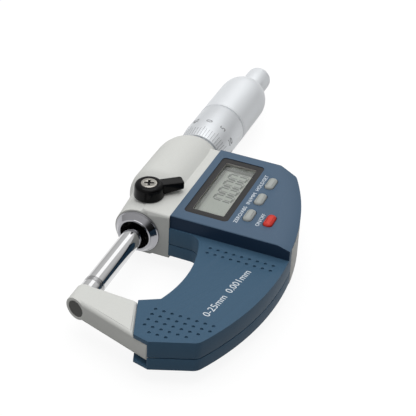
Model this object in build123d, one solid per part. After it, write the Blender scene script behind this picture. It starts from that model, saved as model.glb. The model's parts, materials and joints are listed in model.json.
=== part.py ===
from build123d import *
import math
import os

# Digital outside micrometer, 0-25 mm, lying on its back with the display up.
# Working frame: X is the spindle axis, x = 0 at the anvil face, +Z is the way the display
# faces, the bow hangs towards -Y. The finished pieces are moved together at the end, so that
# the origin is under the middle of the object, on the plane that its lowest point touches.

# ------------------------------------------------------------------ driving sizes, mm
FIT = 0.02            # radial clearance of a pressed or screwed fit
RUN = 0.05            # radial clearance of a running fit
CLEAR = 0.15          # clearance between parts that are only laid together

SPINDLE_R = 3.25
TRAVEL = 25.0
TIP_LENGTH = 1.0      # carbide disc on the anvil and on the spindle
ANVIL_SHOWN = 4.0     # from the arm to the measuring face

THROAT_CLEARANCE = 5.8   # nose beyond the full travel
THROAT_DEPTH = 24.5      # from the spindle axis to the cover's inner arc
THROAT_R = 41.3
THROAT_MIDDLE_X = 12.5
THROAT_CORNER_R = 4.5

BOW_R = 87.8             # outer arc of the covers
BOW_MIDDLE_INSET = 46.5  # bow arc's middle ahead of the rear end
BOW_DEPTH = 49.4         # from the spindle axis to the lowest point of the outer arc
BODY_LENGTH = 41.7       # display box, from the throat wall to its rear end
BOX_STEP = 0.5           # display box wall behind the throat wall
BOX_EDGE_Y = -10.4       # display box edge beside the barrel
SEAM_LENGTH = 3.4        # cover that wraps the body's side behind the throat wall

PLATE_TOP = 4.1          # top of the lower plate
PLATE_THICKNESS = 1.4
BOX_TOP = 8.8
BOX_SKIRT = 6.3          # lower edge of the display box beside the frame's wall
SPLIT_Z = -1.6           # parting plane of the two covers
BACK_Z = -6.5
COVER_WALL = 1.3
CROWN_WIDTH = 4.5        # outer strip of the display box, which slopes down
CROWN_DROP = 1.3
PARTING_GROOVE = 0.35    # height of the groove between the two covers
GROOVE_DEPTH = 0.45

ARM_HALF = 3.55          # half thickness of the anvil arm
ARM_WIDTH = 7.3          # along the spindle, at the anvil
ARM_EDGE_R = 1.3
ARM_GAP_EDGE_R = 0.5
ANVIL_SEAT_R = 2.6      # the anvil's shank in the arm
NOSE_R = 8.6
NOSE_LENGTH = 11.5
BARREL_R = 11.4
BARREL_END_R = 8.5
BARREL_OVERHANG = 4.3    # beyond the display box's rear end
LEDGE_TOP = 8.5          # flat beside the display box
LEDGE_BOTTOM = -7.5
FRAME_WALL = 1.8
RIB_GAP = 0.1            # bow rib above the back cover's floor
WEB_TOP = 0.5
WEB_BOTTOM = -1.5

COLLAR_R = 7.2
COLLAR_FRONT_R = 5.7
COLLAR_HOLE_R = 4.7
COLLAR_LENGTH = 2.7
COLLAR_RIM = 0.6
NOSE_BORE_R = 5.2
BUSH_LENGTH = 15.0
SEAL_LENGTH = 1.2

CHAMBER_R = 8.0          # bore that holds the encoder
CHAMBER_START = 19.2     # from the nose's front face
STATOR_THICKNESS = 1.2
ROTOR_R = 7.4
ROTOR_DISC = 1.6
ROTOR_HUB_R = 5.2
ROTOR_LENGTH = 7.0
AIR_GAP = 0.3
KEY_R = 0.6
KEY_DEPTH = 1.0
RETAINER_THICKNESS = 1.3

SLEEVE_R = 6.2
SLEEVE_BORE_GAP = 0.6    # between the thread and the sleeve's plain bore
SLEEVE_SHOWN = 30.6      # from the barrel's rear end to the sleeve's end
THREAD_RISE = 0.35       # thread's radius over the spindle's
NUT_LENGTH = 12.0
ADJUSTER_R = 6.35
ADJUSTER_SEAT_R = 5.3
ADJUSTER_LENGTH = 3.0

THIMBLE_GAP = 2.1        # between the barrel and the thimble when closed
THIMBLE_R = 8.45
THIMBLE_FRONT_R = 7.7
THIMBLE_BORE_R = 6.5
BEVEL_LENGTH = 6.5
THIMBLE_SHOWN = 20.2
HUB_GAP = 1.0            # sleeve's end to the thimble's hub when closed
HUB_LENGTH = 5.0
HUB_TAPER = 0.4
GRIP_R = 8.6             # knurled rear sleeve
GRIP_LENGTH = 18.0
GRIP_STEP_R = 7.9
SHOULDER_R = 5.2
SHOULDER_LENGTH = 9.2

KNOB_R = 4.45
KNOB_LENGTH = 9.1
KNOB_STEM_R = 3.5
CAP_LENGTH = 2.9
RATCHET_R = 5.6
RATCHET_THICKNESS = 2.0
RATCHET_TEETH = 18
RATCHET_GAP = 0.3
SPRING_WIRE_R = 0.3
RATCHET_SCREW_R = 1.25
RATCHET_HEAD_R = 2.6

LOCK_INSET = 7.9         # lock lever's axis behind the nose's front face
HUB_BASE_R = 4.8
HUB_TOP_R = 4.5
HUB_SHOULDER_R = 1.35
HUB_HEIGHT = 4.3
HUB_SEAT = 8.7
LEVER_LENGTH = 11.0
LEVER_WIDTH = 3.5
LEVER_TIP_WIDTH = 3.9
LEVER_ANGLE = -49.0
LOCK_SCREW_HEAD_R = 2.65
STEM_R = 2.0
PIN_R = 1.5
PIN_GAP = 0.35

DISPLAY_INSET = 4.6      # display surround behind the throat wall
DISPLAY_LENGTH = 33.2
DISPLAY_WIDTH = 14.4
DISPLAY_EDGE = 2.6       # from the box edge to the display surround
DISPLAY_CORNER_R = 1.4
VIEW_INSET = 7.1
VIEW_LENGTH = 28.2
VIEW_WIDTH = 10.3
SURROUND_TOP = 8.65
SURROUND_DROP = 0.05     # surround below the box top's underside
PANE_THICKNESS = 0.6
PANEL_MARGIN = 1.2       # liquid crystal panel beyond the view on each side
PANEL_THICKNESS = 1.4
HOLDER_WALL = 1.0
BOARD_BOTTOM = 2.6
BOARD_THICKNESS = 1.0

BUTTON_INSET = 10.8      # first button behind the throat wall
BUTTON_PITCH = 9.5
BUTTON_ROW_DROP = 4.9    # below the display surround
POWER_ROW_DROP = 6.6     # below the first row
BUTTON_LENGTH = 6.1
BUTTON_WIDTH = 2.9
BUTTON_CORNER_R = 1.35
BUTTON_PROUD = 0.9
BUTTON_TRAVEL = 0.6
BUTTON_FLANGE = 0.7
MAT_THICKNESS = 0.4

DOT_PITCH = 2.52
DOT_R = 0.5
DOT_DEPTH = 0.45

BATTERY_INSET = 24.2     # battery behind the throat wall
BATTERY_DROP = 18.6      # battery below the box edge
BATTERY_R = 5.8
BATTERY_HEIGHT = 5.4
LID_R = 8.0
LUG_THICKNESS = 0.5
LUG_REACH = 1.0          # bayonet lug beyond the lid's edge
LUG_WIDTH = 4.4
LID_UNLOCK = 60.0        # degrees the lid turns to free its lugs
COIN_SLOT_WIDTH = 1.6

SCREW_R = 1.0
SCREW_HEAD_R = 1.9
POST_R = 2.1

# ------------------------------------------------------------------ places that follow from them
NOSE_X = TRAVEL + THROAT_CLEARANCE
BODY_END = NOSE_X + BODY_LENGTH
BOW_MIDDLE_X = BODY_END - BOW_MIDDLE_INSET
SEAM_X = NOSE_X + SEAM_LENGTH
BARREL_END = BODY_END + BARREL_OVERHANG
BOW_MIDDLE_Y = BOW_R - BOW_DEPTH
THROAT_MIDDLE_Y = THROAT_R - THROAT_DEPTH
PLATE_UNDER = PLATE_TOP - PLATE_THICKNESS
BOX_UNDER = BOX_TOP - PLATE_THICKNESS
ARM_GAP_X = -ANVIL_SHOWN
ARM_BACK_X = ARM_GAP_X - ARM_WIDTH
CHAMBER_X = NOSE_X + CHAMBER_START
ROTOR_X = CHAMBER_X + STATOR_THICKNESS + AIR_GAP
ROTOR_END = ROTOR_X + ROTOR_LENGTH
RETAINER_X = ROTOR_END + AIR_GAP
SLEEVE_X = RETAINER_X + RETAINER_THICKNESS
SLEEVE_END = BARREL_END + SLEEVE_SHOWN
THIMBLE_X = BARREL_END + THIMBLE_GAP
GRIP_X = THIMBLE_X + THIMBLE_SHOWN
HUB_X = SLEEVE_END + HUB_GAP
HUB_END = HUB_X + HUB_LENGTH
GRIP_SHOULDER_X = GRIP_X + GRIP_LENGTH
GRIP_END = GRIP_SHOULDER_X + SHOULDER_LENGTH
KNOB_X = GRIP_END + RATCHET_GAP
KNOB_END = KNOB_X + KNOB_LENGTH
BOARD_TOP = BOARD_BOTTOM + BOARD_THICKNESS
FLOOR_TOP = BACK_Z + PLATE_THICKNESS
LID_TOP = FLOOR_TOP + RUN
LUG_TOP = LID_TOP + LUG_THICKNESS
CELL_BOTTOM = LUG_TOP + 0.05
RIB_BOTTOM = FLOOR_TOP + RIB_GAP
SURROUND_BOTTOM = BOX_UNDER - SURROUND_DROP
THREAD_R = SPINDLE_R + THREAD_RISE
SLEEVE_BORE_R = THREAD_R + SLEEVE_BORE_GAP
LOCK_X = NOSE_X + LOCK_INSET
DISPLAY_X0 = NOSE_X + DISPLAY_INSET
VIEW_X0 = NOSE_X + VIEW_INSET
BUTTON_X = NOSE_X + BUTTON_INSET
BATTERY_X = NOSE_X + BATTERY_INSET
BATTERY_Y = BOX_EDGE_Y - BATTERY_DROP
BUTTON_ROW_Y = BOX_EDGE_Y - DISPLAY_EDGE - DISPLAY_WIDTH - BUTTON_ROW_DROP
POWER_ROW_Y = BUTTON_ROW_Y - POWER_ROW_DROP
DISPLAY_MIDDLE = (DISPLAY_X0 + DISPLAY_LENGTH / 2, BOX_EDGE_Y - DISPLAY_EDGE - DISPLAY_WIDTH / 2)
VIEW_MIDDLE = (VIEW_X0 + VIEW_LENGTH / 2, DISPLAY_MIDDLE[1])
BUTTONS = {
    "zero_button": (BUTTON_X, BUTTON_ROW_Y),
    "unit_button": (BUTTON_X + BUTTON_PITCH, BUTTON_ROW_Y),
    "hold_button": (BUTTON_X + 2 * BUTTON_PITCH, BUTTON_ROW_Y),
    "power_button": (BUTTON_X, POWER_ROW_Y),
}


# ------------------------------------------------------------------ small helpers
def rod(radius, x0, x1):
    """Cylinder about the spindle axis."""
    blank = Cylinder(radius, x1 - x0, align=(Align.CENTER, Align.CENTER, Align.MIN))
    return Pos(x0, 0, 0) * Rot(0, 90, 0) * blank


def tube(outer, inner, x0, x1):
    """Ring about the spindle axis."""
    return rod(outer, x0, x1) - rod(inner, x0, x1)


def turned(*corners):
    """Solid turned about the spindle axis from (x, radius) corners."""
    return revolve(make_face(Polyline(*corners, close=True)), Axis.X)


def post(radius, x, y, z0, z1):
    """Upright cylinder."""
    return Pos(x, y, z0) * Cylinder(radius, z1 - z0, align=(Align.CENTER, Align.CENTER, Align.MIN))


def cone_post(bottom, top, x, y, z0, z1):
    """Upright cone."""
    return Pos(x, y, z0) * Cone(bottom, top, z1 - z0, align=(Align.CENTER, Align.CENTER, Align.MIN))


def slab(sketch, z0, z1):
    """Plan outline raised from z0 to z1."""
    return Pos(0, 0, z0) * extrude(sketch, z1 - z0)


def block(x0, x1, y0, y1, z0, z1):
    """Box between two corners."""
    return Pos(x0, y0, z0) * Box(x1 - x0, y1 - y0, z1 - z0, align=(Align.MIN, Align.MIN, Align.MIN))


def plan_block(x0, x1, y0, y1):
    """Rectangle between two corners, in plan."""
    return Pos(x0, y0) * Rectangle(x1 - x0, y1 - y0, align=(Align.MIN, Align.MIN))


def rounded(middle, length, width, corner):
    """Rounded rectangle about a middle point, in plan."""
    return Pos(*middle) * RectangleRounded(length, width, corner)


def outer_y(x):
    """Y of the covers' outer arc."""
    return BOW_MIDDLE_Y - math.sqrt(BOW_R ** 2 - (x - BOW_MIDDLE_X) ** 2)


def throat_y(x):
    """Y of the throat's arc."""
    return THROAT_MIDDLE_Y - math.sqrt(THROAT_R ** 2 - (x - THROAT_MIDDLE_X) ** 2)


def round_corner(sketch, place, radius):
    """Round the corner of a plan outline nearest to a place."""
    corner = sketch.vertices().sort_by_distance(Vector(*place, 0))[0]
    return fillet(corner, radius)


def from_arc(x, rise):
    """Point at x, a given distance up from the outer arc."""
    return x, outer_y(x) + rise


BOW_POSTS = [from_arc(-9.0, 9.2), from_arc(BOW_MIDDLE_X - 6.0, 12.7)]
BODY_POSTS = [
    from_arc(SEAM_X + 4.2, 4.1),
    from_arc(BODY_END - 4.3, 7.6),
    from_arc(BODY_END - 18.0, 4.9),
]
BACK_SCREWS = [
    (SEAM_X + 5.5, BOX_EDGE_Y - 5.5),
    (BODY_END - 6.0, BOX_EDGE_Y - 6.5),
    from_arc(SEAM_X + 10.5, 4.4),
    from_arc(BODY_END - 8.5, 5.6),
]


# ------------------------------------------------------------------ plan outlines
ARM_INNER = (-4.6, -16.5)           # corners of the covers where the arm enters them
ARM_OUTER = (-18.7, -21.6)
ARM_HEEL = (-18.35, -21.47)         # where the arm's slanted outer face meets the covers
HEEL_TOP = (-19.9, -26.5)
HEEL_X = -14.6
RIB_START_X = -11.5
THROAT_START_X = -1.3
REAR_CHAMFER = (2.6, 6.3)           # ahead of the rear end, and up from the outer arc


def cover_outline():
    """Plan outline shared by both covers."""
    throat_start = (THROAT_START_X, throat_y(THROAT_START_X))
    throat_end = (NOSE_X, throat_y(NOSE_X))
    heel = (HEEL_X, outer_y(HEEL_X))
    rear_x = BODY_END - REAR_CHAMFER[0]
    rear = (rear_x, outer_y(rear_x))
    rear_side = (BODY_END, outer_y(rear_x) + REAR_CHAMFER[1])
    arc_x = (HEEL_X + rear_x) / 2
    edges = Polyline(heel, HEEL_TOP, ARM_OUTER, ARM_INNER, throat_start)
    edges += ThreePointArc(throat_start, (THROAT_MIDDLE_X, throat_y(THROAT_MIDDLE_X)), throat_end)
    edges += Polyline(throat_end, (NOSE_X, BOX_EDGE_Y), (BODY_END, BOX_EDGE_Y), rear_side, rear)
    edges += ThreePointArc(rear, (arc_x, outer_y(arc_x)), heel)
    outline = make_face(edges)
    outline = round_corner(outline, throat_end, THROAT_CORNER_R)
    outline = round_corner(outline, heel, 3.5)
    outline = round_corner(outline, rear, 2.0)
    return round_corner(outline, rear_side, 2.0)


def inner_outline(gap):
    """Cover outline moved inwards."""
    return offset(cover_outline(), -gap)


def behind(x):
    """Everything behind a plane across the spindle, in plan."""
    return plan_block(x, BODY_END + 20, -80, 40)


def ahead(x):
    """Everything ahead of a plane across the spindle, in plan."""
    return plan_block(-60, x, -80, 40)


def on_arm_back(y):
    """Point at y on the arm's slanted outer face."""
    return ARM_BACK_X + (ARM_BACK_X - ARM_HEEL[0]) / -ARM_HEEL[1] * y, y


def neck_outline():
    """Plan outline of the arm's root, inside the covers' left end."""
    throat_side = throat_y(THROAT_START_X)
    heel = on_arm_back(HEEL_TOP[1] + 0.6)
    outline = make_face(Polyline(
        (ARM_INNER[0] + 0.1, ARM_INNER[1] + 0.3), (THROAT_START_X - 0.2, throat_side + 0.4),
        (THROAT_START_X - 1.2, throat_side - 3.8), from_arc(-8.0, 6.5),
        (HEEL_TOP[0] + 3.3, HEEL_TOP[1] - 6.1), heel, on_arm_back(ARM_HEEL[1] + 0.3), close=True))
    return round_corner(outline, heel, 0.8)


def passage_outline():
    """Plan outline of the covers' open left end, around the arm's root."""
    mouth = plan_block(HEEL_TOP[0] - 5, ARM_OUTER[0] + 2, HEEL_TOP[1] + 0.4, ARM_OUTER[1] + 2)
    return offset(neck_outline(), CLEAR) + mouth


def arm_outline():
    """Plan outline of the arm, from the covers to the tip around the anvil."""
    return make_face(Polyline(
        (ARM_GAP_X, ARM_HALF), (ARM_GAP_X, -4.0), ARM_INNER, ARM_HEEL, on_arm_back(ARM_HALF),
        close=True))


# ------------------------------------------------------------------ frame
def barrel_blank():
    """Nose and barrel, turned about the spindle axis, with a flat ledge beside the box."""
    swell_x = NOSE_X + NOSE_LENGTH
    full_x = swell_x + 8.5
    round_x = BARREL_END - 9.0
    end_face_x = BARREL_END
    edges = Polyline((end_face_x, BARREL_END_R), (end_face_x, 0), (NOSE_X, 0), (NOSE_X, NOSE_R),
                     (swell_x, NOSE_R))
    edges += Spline((swell_x, NOSE_R), (full_x, BARREL_R), tangents=[(1, 0), (1, 0)])
    edges += Line((full_x, BARREL_R), (round_x, BARREL_R))
    edges += Spline((round_x, BARREL_R), (end_face_x, BARREL_END_R), tangents=[(1, 0), (0.81, -0.586)])
    return revolve(make_face(edges), Axis.X)


def make_frame():
    """Cast C-frame: arm, bow rib, nose, barrel housing and rear tray."""
    whole_arm = slab(arm_outline(), -ARM_HALF, ARM_HALF)
    arm = whole_arm - block(-60, 60, 0, 60, -20, 20)
    long_edges = arm.edges().filter_by(lambda e: abs(e.center().Z) > ARM_HALF - 0.1 and e.length > 11)
    middle_x = (ARM_GAP_X + ARM_BACK_X) / 2
    arm = fillet(long_edges.filter_by(lambda e: e.center().X < middle_x), ARM_EDGE_R)
    gap_edges = arm.edges().filter_by(lambda e: abs(e.center().Z) > ARM_HALF - 0.1 and e.length > 11)
    arm = fillet(gap_edges.filter_by(lambda e: e.center().X > middle_x), ARM_GAP_EDGE_R)
    tip = whole_arm & rod(ARM_HALF, ARM_BACK_X - 10, ARM_GAP_X)
    neck = slab(neck_outline(), -ARM_HALF, PLATE_UNDER - CLEAR)
    lower = neck.edges().filter_by(lambda e: e.center().Z < -ARM_HALF + 0.1)
    neck = fillet(lower.sort_by_distance(Vector(*on_arm_back(-24.0), -ARM_HALF))[0], ARM_EDGE_R)

    gap = COVER_WALL + CLEAR
    rib = slab(inner_outline(gap) & plan_block(RIB_START_X, SEAM_X, -60, 0), RIB_BOTTOM,
               PLATE_UNDER - CLEAR)

    tray_plan = cover_outline() & behind(SEAM_X)
    hollow_plan = inner_outline(FRAME_WALL) & behind(SEAM_X + FRAME_WALL)
    tray = slab(tray_plan, BACK_Z, BOX_SKIRT) - slab(hollow_plan, BACK_Z, BOX_SKIRT)
    tray -= slab(inner_outline(FRAME_WALL) & ahead(SEAM_X + FRAME_WALL + 1), PLATE_UNDER - CLEAR, BOX_TOP)
    tray -= slab(inner_outline(FRAME_WALL) & ahead(SEAM_X + FRAME_WALL + 1), BACK_Z,
                 FLOOR_TOP + CLEAR)
    web = slab(hollow_plan, WEB_BOTTOM, WEB_TOP)

    barrel = barrel_blank()
    ledge = block(NOSE_X, BODY_END, BOX_EDGE_Y, 0, LEDGE_BOTTOM, LEDGE_TOP)
    ledge = fillet(ledge.edges().filter_by(Axis.Y), 1.0)
    floor_cut = block(NOSE_X - 1, NOSE_X + NOSE_LENGTH, -20, 20, -20, LEDGE_BOTTOM)
    housing = barrel + ledge - floor_cut
    joint = block(NOSE_X + gap, BODY_END - 2.0, BOX_EDGE_Y - FRAME_WALL, BOX_EDGE_Y,
                  RIB_BOTTOM, PLATE_UNDER - CLEAR)

    frame = arm + tip + neck + rib + tray + web + housing + joint
    frame += post(BATTERY_R + 1.2, BATTERY_X, BATTERY_Y, LUG_TOP + CLEAR, WEB_TOP)
    for x, y in BODY_POSTS:
        frame += post(POST_R + 0.9, x, y, WEB_BOTTOM - 2.0, BOARD_BOTTOM - FIT)
    for x, y in BACK_SCREWS:
        frame += post(POST_R, x, y, FLOOR_TOP + CLEAR, WEB_BOTTOM)

    frame -= rod(ANVIL_SEAT_R + FIT, ARM_BACK_X - 5, ARM_GAP_X + 1)
    frame -= rod(NOSE_BORE_R, NOSE_X - 1, CHAMBER_X + 1)
    frame -= rod(CHAMBER_R, CHAMBER_X, BARREL_END + 1)
    frame -= post(HUB_BASE_R + 0.4, LOCK_X, 0, HUB_SEAT, HUB_SEAT + 10)
    frame -= post(STEM_R + RUN, LOCK_X, 0, 0, HUB_SEAT + 1)
    frame -= post(BATTERY_R + CLEAR, BATTERY_X, BATTERY_Y, BACK_Z - 1, WEB_TOP + 1)
    for x, y in BOW_POSTS:
        frame -= post(POST_R + CLEAR, x, y, RIB_BOTTOM - 1, PLATE_TOP)
    for x, y in BODY_POSTS:
        frame -= post(SCREW_R + CLEAR, x, y, WEB_BOTTOM - 3, BOARD_BOTTOM + 1)
        frame -= post(SCREW_HEAD_R + CLEAR, x, y, WEB_BOTTOM - 3, WEB_BOTTOM - 0.5)
    for x, y in BACK_SCREWS:
        frame -= post(SCREW_R + FIT, x, y, BACK_Z, WEB_TOP - 0.6)
    flex_x = CHAMBER_X - 0.5
    frame -= block(flex_x, flex_x + 4.0, BOX_EDGE_Y - FRAME_WALL - 1, 0, 1.0, 2.5)
    return frame


# ------------------------------------------------------------------ covers
def dimples():
    """Two groups of small round dimples in the lower plate."""
    holes = []
    for row, (first, count) in enumerate([(0, 8), (0, 8), (0, 7), (0, 6), (1, 3)]):
        for step in range(first, first + count):
            holes.append((-6.1 - row * DOT_PITCH, -22.65 - step * DOT_PITCH))
    for row in range(2):
        for step in range(9):
            holes.append((NOSE_X - 6.3 + row * DOT_PITCH, -25.65 - step * DOT_PITCH))
    depth = PLATE_TOP - DOT_DEPTH
    return [post(DOT_R, x, y, depth, PLATE_TOP + 1) for x, y in holes]


def crown_cut():
    """Ring that slopes the display box's outer strip down."""
    inner = BOW_R - CROWN_WIDTH
    slope = CROWN_DROP / CROWN_WIDTH
    far = BOW_R + 8.0
    profile = make_face(Polyline(
        (inner, 0, BOX_TOP), (far, 0, BOX_TOP - slope * (far - inner)), (far, 0, BOX_TOP + 5),
        (inner, 0, BOX_TOP + 5), close=True))
    ring = revolve(profile, Axis.Z)
    return Pos(BOW_MIDDLE_X, BOW_MIDDLE_Y, 0) * ring


def make_front_cover():
    """Lower plate, side walls and raised display box in one moulding."""
    plan = cover_outline()
    core = inner_outline(COVER_WALL)
    box_x = NOSE_X + BOX_STEP
    plate = slab(plan & ahead(box_x + COVER_WALL), SPLIT_Z, PLATE_TOP)
    box = slab(plan & behind(box_x), SPLIT_Z, BOX_TOP)
    rim = box.edges().filter_by(lambda e: abs(e.center().Z - BOX_TOP) < 0.01)
    rim = rim.filter_by(lambda e: e.center().Y > outer_y(e.center().X) + 1.0)
    box = fillet(rim, 0.4)
    box -= crown_cut()
    cover = plate + box
    cover -= slab(core, SPLIT_Z - 1, PLATE_UNDER)
    cover -= slab(core & behind(box_x + COVER_WALL), SPLIT_Z - 1, BOX_UNDER)
    cover -= slab(plan_block(SEAM_X - CLEAR, BODY_END + 5, -60, BOX_EDGE_Y + 5), SPLIT_Z - 1,
                  BOX_SKIRT + CLEAR)
    cover -= slab(plan_block(NOSE_X + COVER_WALL, SEAM_X, -20, BOX_EDGE_Y + 5), SPLIT_Z - 1,
                  PLATE_UNDER)
    cover -= slab(passage_outline(), SPLIT_Z - 1, PLATE_UNDER)
    for hole in dimples():
        cover -= hole
    cover -= slab(rounded(DISPLAY_MIDDLE, DISPLAY_LENGTH + FIT * 2, DISPLAY_WIDTH + FIT * 2,
                          DISPLAY_CORNER_R), SURROUND_BOTTOM - 1, BOX_TOP + 1)
    for x, y in BUTTONS.values():
        cover -= slab(rounded((x, y), BUTTON_LENGTH + CLEAR * 2, BUTTON_WIDTH + CLEAR * 2,
                              BUTTON_CORNER_R), BOX_UNDER - 1, BOX_TOP + 1)
    for x, y in BOW_POSTS:
        cover += post(POST_R, x, y, SPLIT_Z - 1.4, PLATE_UNDER)
        cover -= post(SCREW_R + FIT, x, y, SPLIT_Z - 3, PLATE_UNDER - 0.8)
    for x, y in BODY_POSTS:
        cover += post(POST_R, x, y, BOARD_TOP + FIT, BOX_UNDER)
        cover -= post(SCREW_R + FIT, x, y, BOARD_TOP - 1, BOX_UNDER - 1.0)
    return cover


def make_back_cover():
    """Shallow shell under the bow, with a plate under the rear body."""
    plan = cover_outline()
    core = inner_outline(COVER_WALL)
    bow = slab(plan & ahead(SEAM_X - CLEAR), BACK_Z, SPLIT_Z)
    bow = chamfer(bow.edges().filter_by(lambda e: abs(e.center().Z - BACK_Z) < 0.01), 0.5)
    bow -= slab(core, FLOOR_TOP, SPLIT_Z + 1)
    bow -= slab(plan - inner_outline(GROOVE_DEPTH), SPLIT_Z - PARTING_GROOVE, SPLIT_Z + 1)
    floor_plan = inner_outline(FRAME_WALL + CLEAR) & behind(SEAM_X + FRAME_WALL + CLEAR)
    floor = slab(floor_plan, BACK_Z, FLOOR_TOP)
    tongue_plan = inner_outline(FRAME_WALL + CLEAR) & plan_block(SEAM_X - 3, SEAM_X + 4, -60, 0)
    tongue = slab(tongue_plan, BACK_Z, FLOOR_TOP)
    cover = bow + floor + tongue
    cover -= slab(passage_outline(), FLOOR_TOP, SPLIT_Z + 1)
    cover -= slab(plan_block(NOSE_X + COVER_WALL, SEAM_X + 1, -12.3, BOX_EDGE_Y + 5),
                  FLOOR_TOP, SPLIT_Z + 1)
    for x, y in BOW_POSTS + BACK_SCREWS:
        cover -= post(SCREW_R + CLEAR, x, y, BACK_Z - 1, BACK_Z + 3)
        cover -= cone_post(SCREW_HEAD_R + CLEAR, SCREW_R + CLEAR, x, y, BACK_Z, BACK_Z + 1.1)
    cover -= post(LID_R + CLEAR, BATTERY_X, BATTERY_Y, BACK_Z - 1, BACK_Z + 3)
    entry = Rot(0, 0, LID_UNLOCK) * Rectangle(2 * (LID_R + LUG_REACH + CLEAR), LUG_WIDTH + 2 * CLEAR)
    return cover - slab(Pos(BATTERY_X, BATTERY_Y) * entry, BACK_Z + 0.6, BACK_Z + 3)


# ------------------------------------------------------------------ measuring faces and nose
def make_anvil():
    """Anvil pressed through the arm, ground flush with its slanted outer face."""
    shank = rod(ANVIL_SEAT_R, ARM_BACK_X - 5, ARM_GAP_X) & slab(arm_outline(), -ARM_HALF, ARM_HALF)
    return shank + rod(SPINDLE_R, ARM_GAP_X, -TIP_LENGTH)


def make_spindle():
    """Spindle: guide, keyway, measuring thread and the taper that carries the thimble."""
    thread_start = BARREL_END - 15.0
    body = turned(
        (TIP_LENGTH, 0), (TIP_LENGTH, SPINDLE_R), (thread_start, SPINDLE_R), (thread_start, THREAD_R),
        (SLEEVE_END, THREAD_R), (SLEEVE_END, SPINDLE_R), (HUB_X, SPINDLE_R),
        (HUB_END, SPINDLE_R - HUB_TAPER), (HUB_END + 1.6, SPINDLE_R - HUB_TAPER), (HUB_END + 1.6, 0))
    key_x = ROTOR_END - 2.0
    keyway = block(key_x - TRAVEL - 1.2, key_x + 1.2, -KEY_R - RUN, KEY_R + RUN,
                   -SPINDLE_R - 1, -SPINDLE_R + KEY_DEPTH + CLEAR)
    return body - keyway - rod(RATCHET_SCREW_R + FIT, HUB_X - 4.0, HUB_END + 3)


def make_nose_collar():
    """Chrome collar: rim against the nose, cone and front ring."""
    back = NOSE_X
    rim = back - COLLAR_RIM
    front = back - COLLAR_LENGTH
    body = turned(
        (back, COLLAR_R), (rim, COLLAR_R), (rim - 0.1, COLLAR_R - 0.5), (front + 0.3, COLLAR_FRONT_R),
        (front, COLLAR_FRONT_R - 0.2), (front, COLLAR_HOLE_R + 0.2), (front + 0.3, COLLAR_HOLE_R),
        (back, COLLAR_HOLE_R))
    skirt = tube(NOSE_BORE_R - FIT, COLLAR_HOLE_R, back, back + 2.5)
    return body + skirt


def make_wiper_ring():
    """Ring that wipes the spindle behind the collar."""
    start = NOSE_X + 2.5 + FIT
    return tube(NOSE_BORE_R - FIT, SPINDLE_R + 0.1, start, start + SEAL_LENGTH)


def make_spindle_bush():
    """Guide bush with a cross hole for the lock pin."""
    start = NOSE_X + 2.5 + SEAL_LENGTH + 2 * FIT
    bush = tube(NOSE_BORE_R - FIT, SPINDLE_R + RUN, start, start + BUSH_LENGTH)
    return bush - post(PIN_R + RUN, LOCK_X, 0, 0, NOSE_R)


# ------------------------------------------------------------------ spindle lock
def make_lock_lever():
    """Round hub with a wide shoulder, and an arm that widens to its tip."""
    top = HUB_SEAT + HUB_HEIGHT
    hub = cone_post(HUB_BASE_R, HUB_TOP_R, 0, 0, HUB_SEAT, top)
    hub = fillet(hub.edges().sort_by(Axis.Z)[-1], HUB_SHOULDER_R)
    side_view = make_face(Polyline(
        (0, 0, HUB_SEAT + 0.5), (LEVER_LENGTH, 0, HUB_SEAT + 0.3), (LEVER_LENGTH, 0, top - 0.6),
        (0, 0, top - 0.25), close=True))
    plan = make_face(Polyline(
        (0, -LEVER_WIDTH / 2), (LEVER_LENGTH, -LEVER_TIP_WIDTH / 2),
        (LEVER_LENGTH, LEVER_TIP_WIDTH / 2), (0, LEVER_WIDTH / 2), close=True))
    for side in (1, -1):
        plan = round_corner(plan, (LEVER_LENGTH, side * LEVER_TIP_WIDTH / 2), 0.8)
    arm = slab(plan, HUB_SEAT, top) & (Pos(0, 3, 0) * extrude(side_view, 6))
    upper = arm.edges().filter_by(lambda e: e.center().Z > top - 0.75 and e.center().X > 1.0)
    arm = fillet(upper, 0.4)
    lever = hub + arm
    lever -= post(LOCK_SCREW_HEAD_R + 0.1, 0, 0, top - 0.9, top + 1)
    lever -= post(STEM_R + FIT, 0, 0, HUB_SEAT - 1, top)
    return Pos(LOCK_X, 0, 0.1) * Rot(0, 0, LEVER_ANGLE) * lever


def make_lock_stem():
    """Threaded stem that the lever turns in the nose."""
    bottom = SPINDLE_R + PIN_GAP + 2.0
    stem = post(STEM_R, LOCK_X, 0, bottom, HUB_SEAT + HUB_HEIGHT - 0.9)
    return stem - post(SCREW_R + FIT, LOCK_X, 0, HUB_SEAT - 1.0, HUB_SEAT + HUB_HEIGHT)


def make_lock_screw():
    """Cross-head screw that holds the lever on its stem."""
    under = HUB_SEAT + HUB_HEIGHT - 0.8
    head = post(LOCK_SCREW_HEAD_R, LOCK_X, 0, under, under + 1.0)
    head = fillet(head.edges().sort_by(Axis.Z)[-1], 0.4)
    screw = head + post(SCREW_R, LOCK_X, 0, HUB_SEAT - 0.6, under)
    for turn in (20, 110):
        arm = Pos(LOCK_X, 0, under + 0.9) * Rot(0, 0, turn) * Box(3.0, 0.75, 1.3)
        screw -= arm
    return screw


def make_lock_pin():
    """Brass pin that bears on the spindle."""
    bottom = SPINDLE_R + PIN_GAP
    return post(PIN_R, LOCK_X, 0, bottom, bottom + 1.9)


# ------------------------------------------------------------------ encoder
def make_encoder_stator():
    """Ring board at the front of the chamber."""
    return tube(CHAMBER_R - FIT, SPINDLE_R + 1.0, CHAMBER_X, CHAMBER_X + STATOR_THICKNESS)


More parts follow.
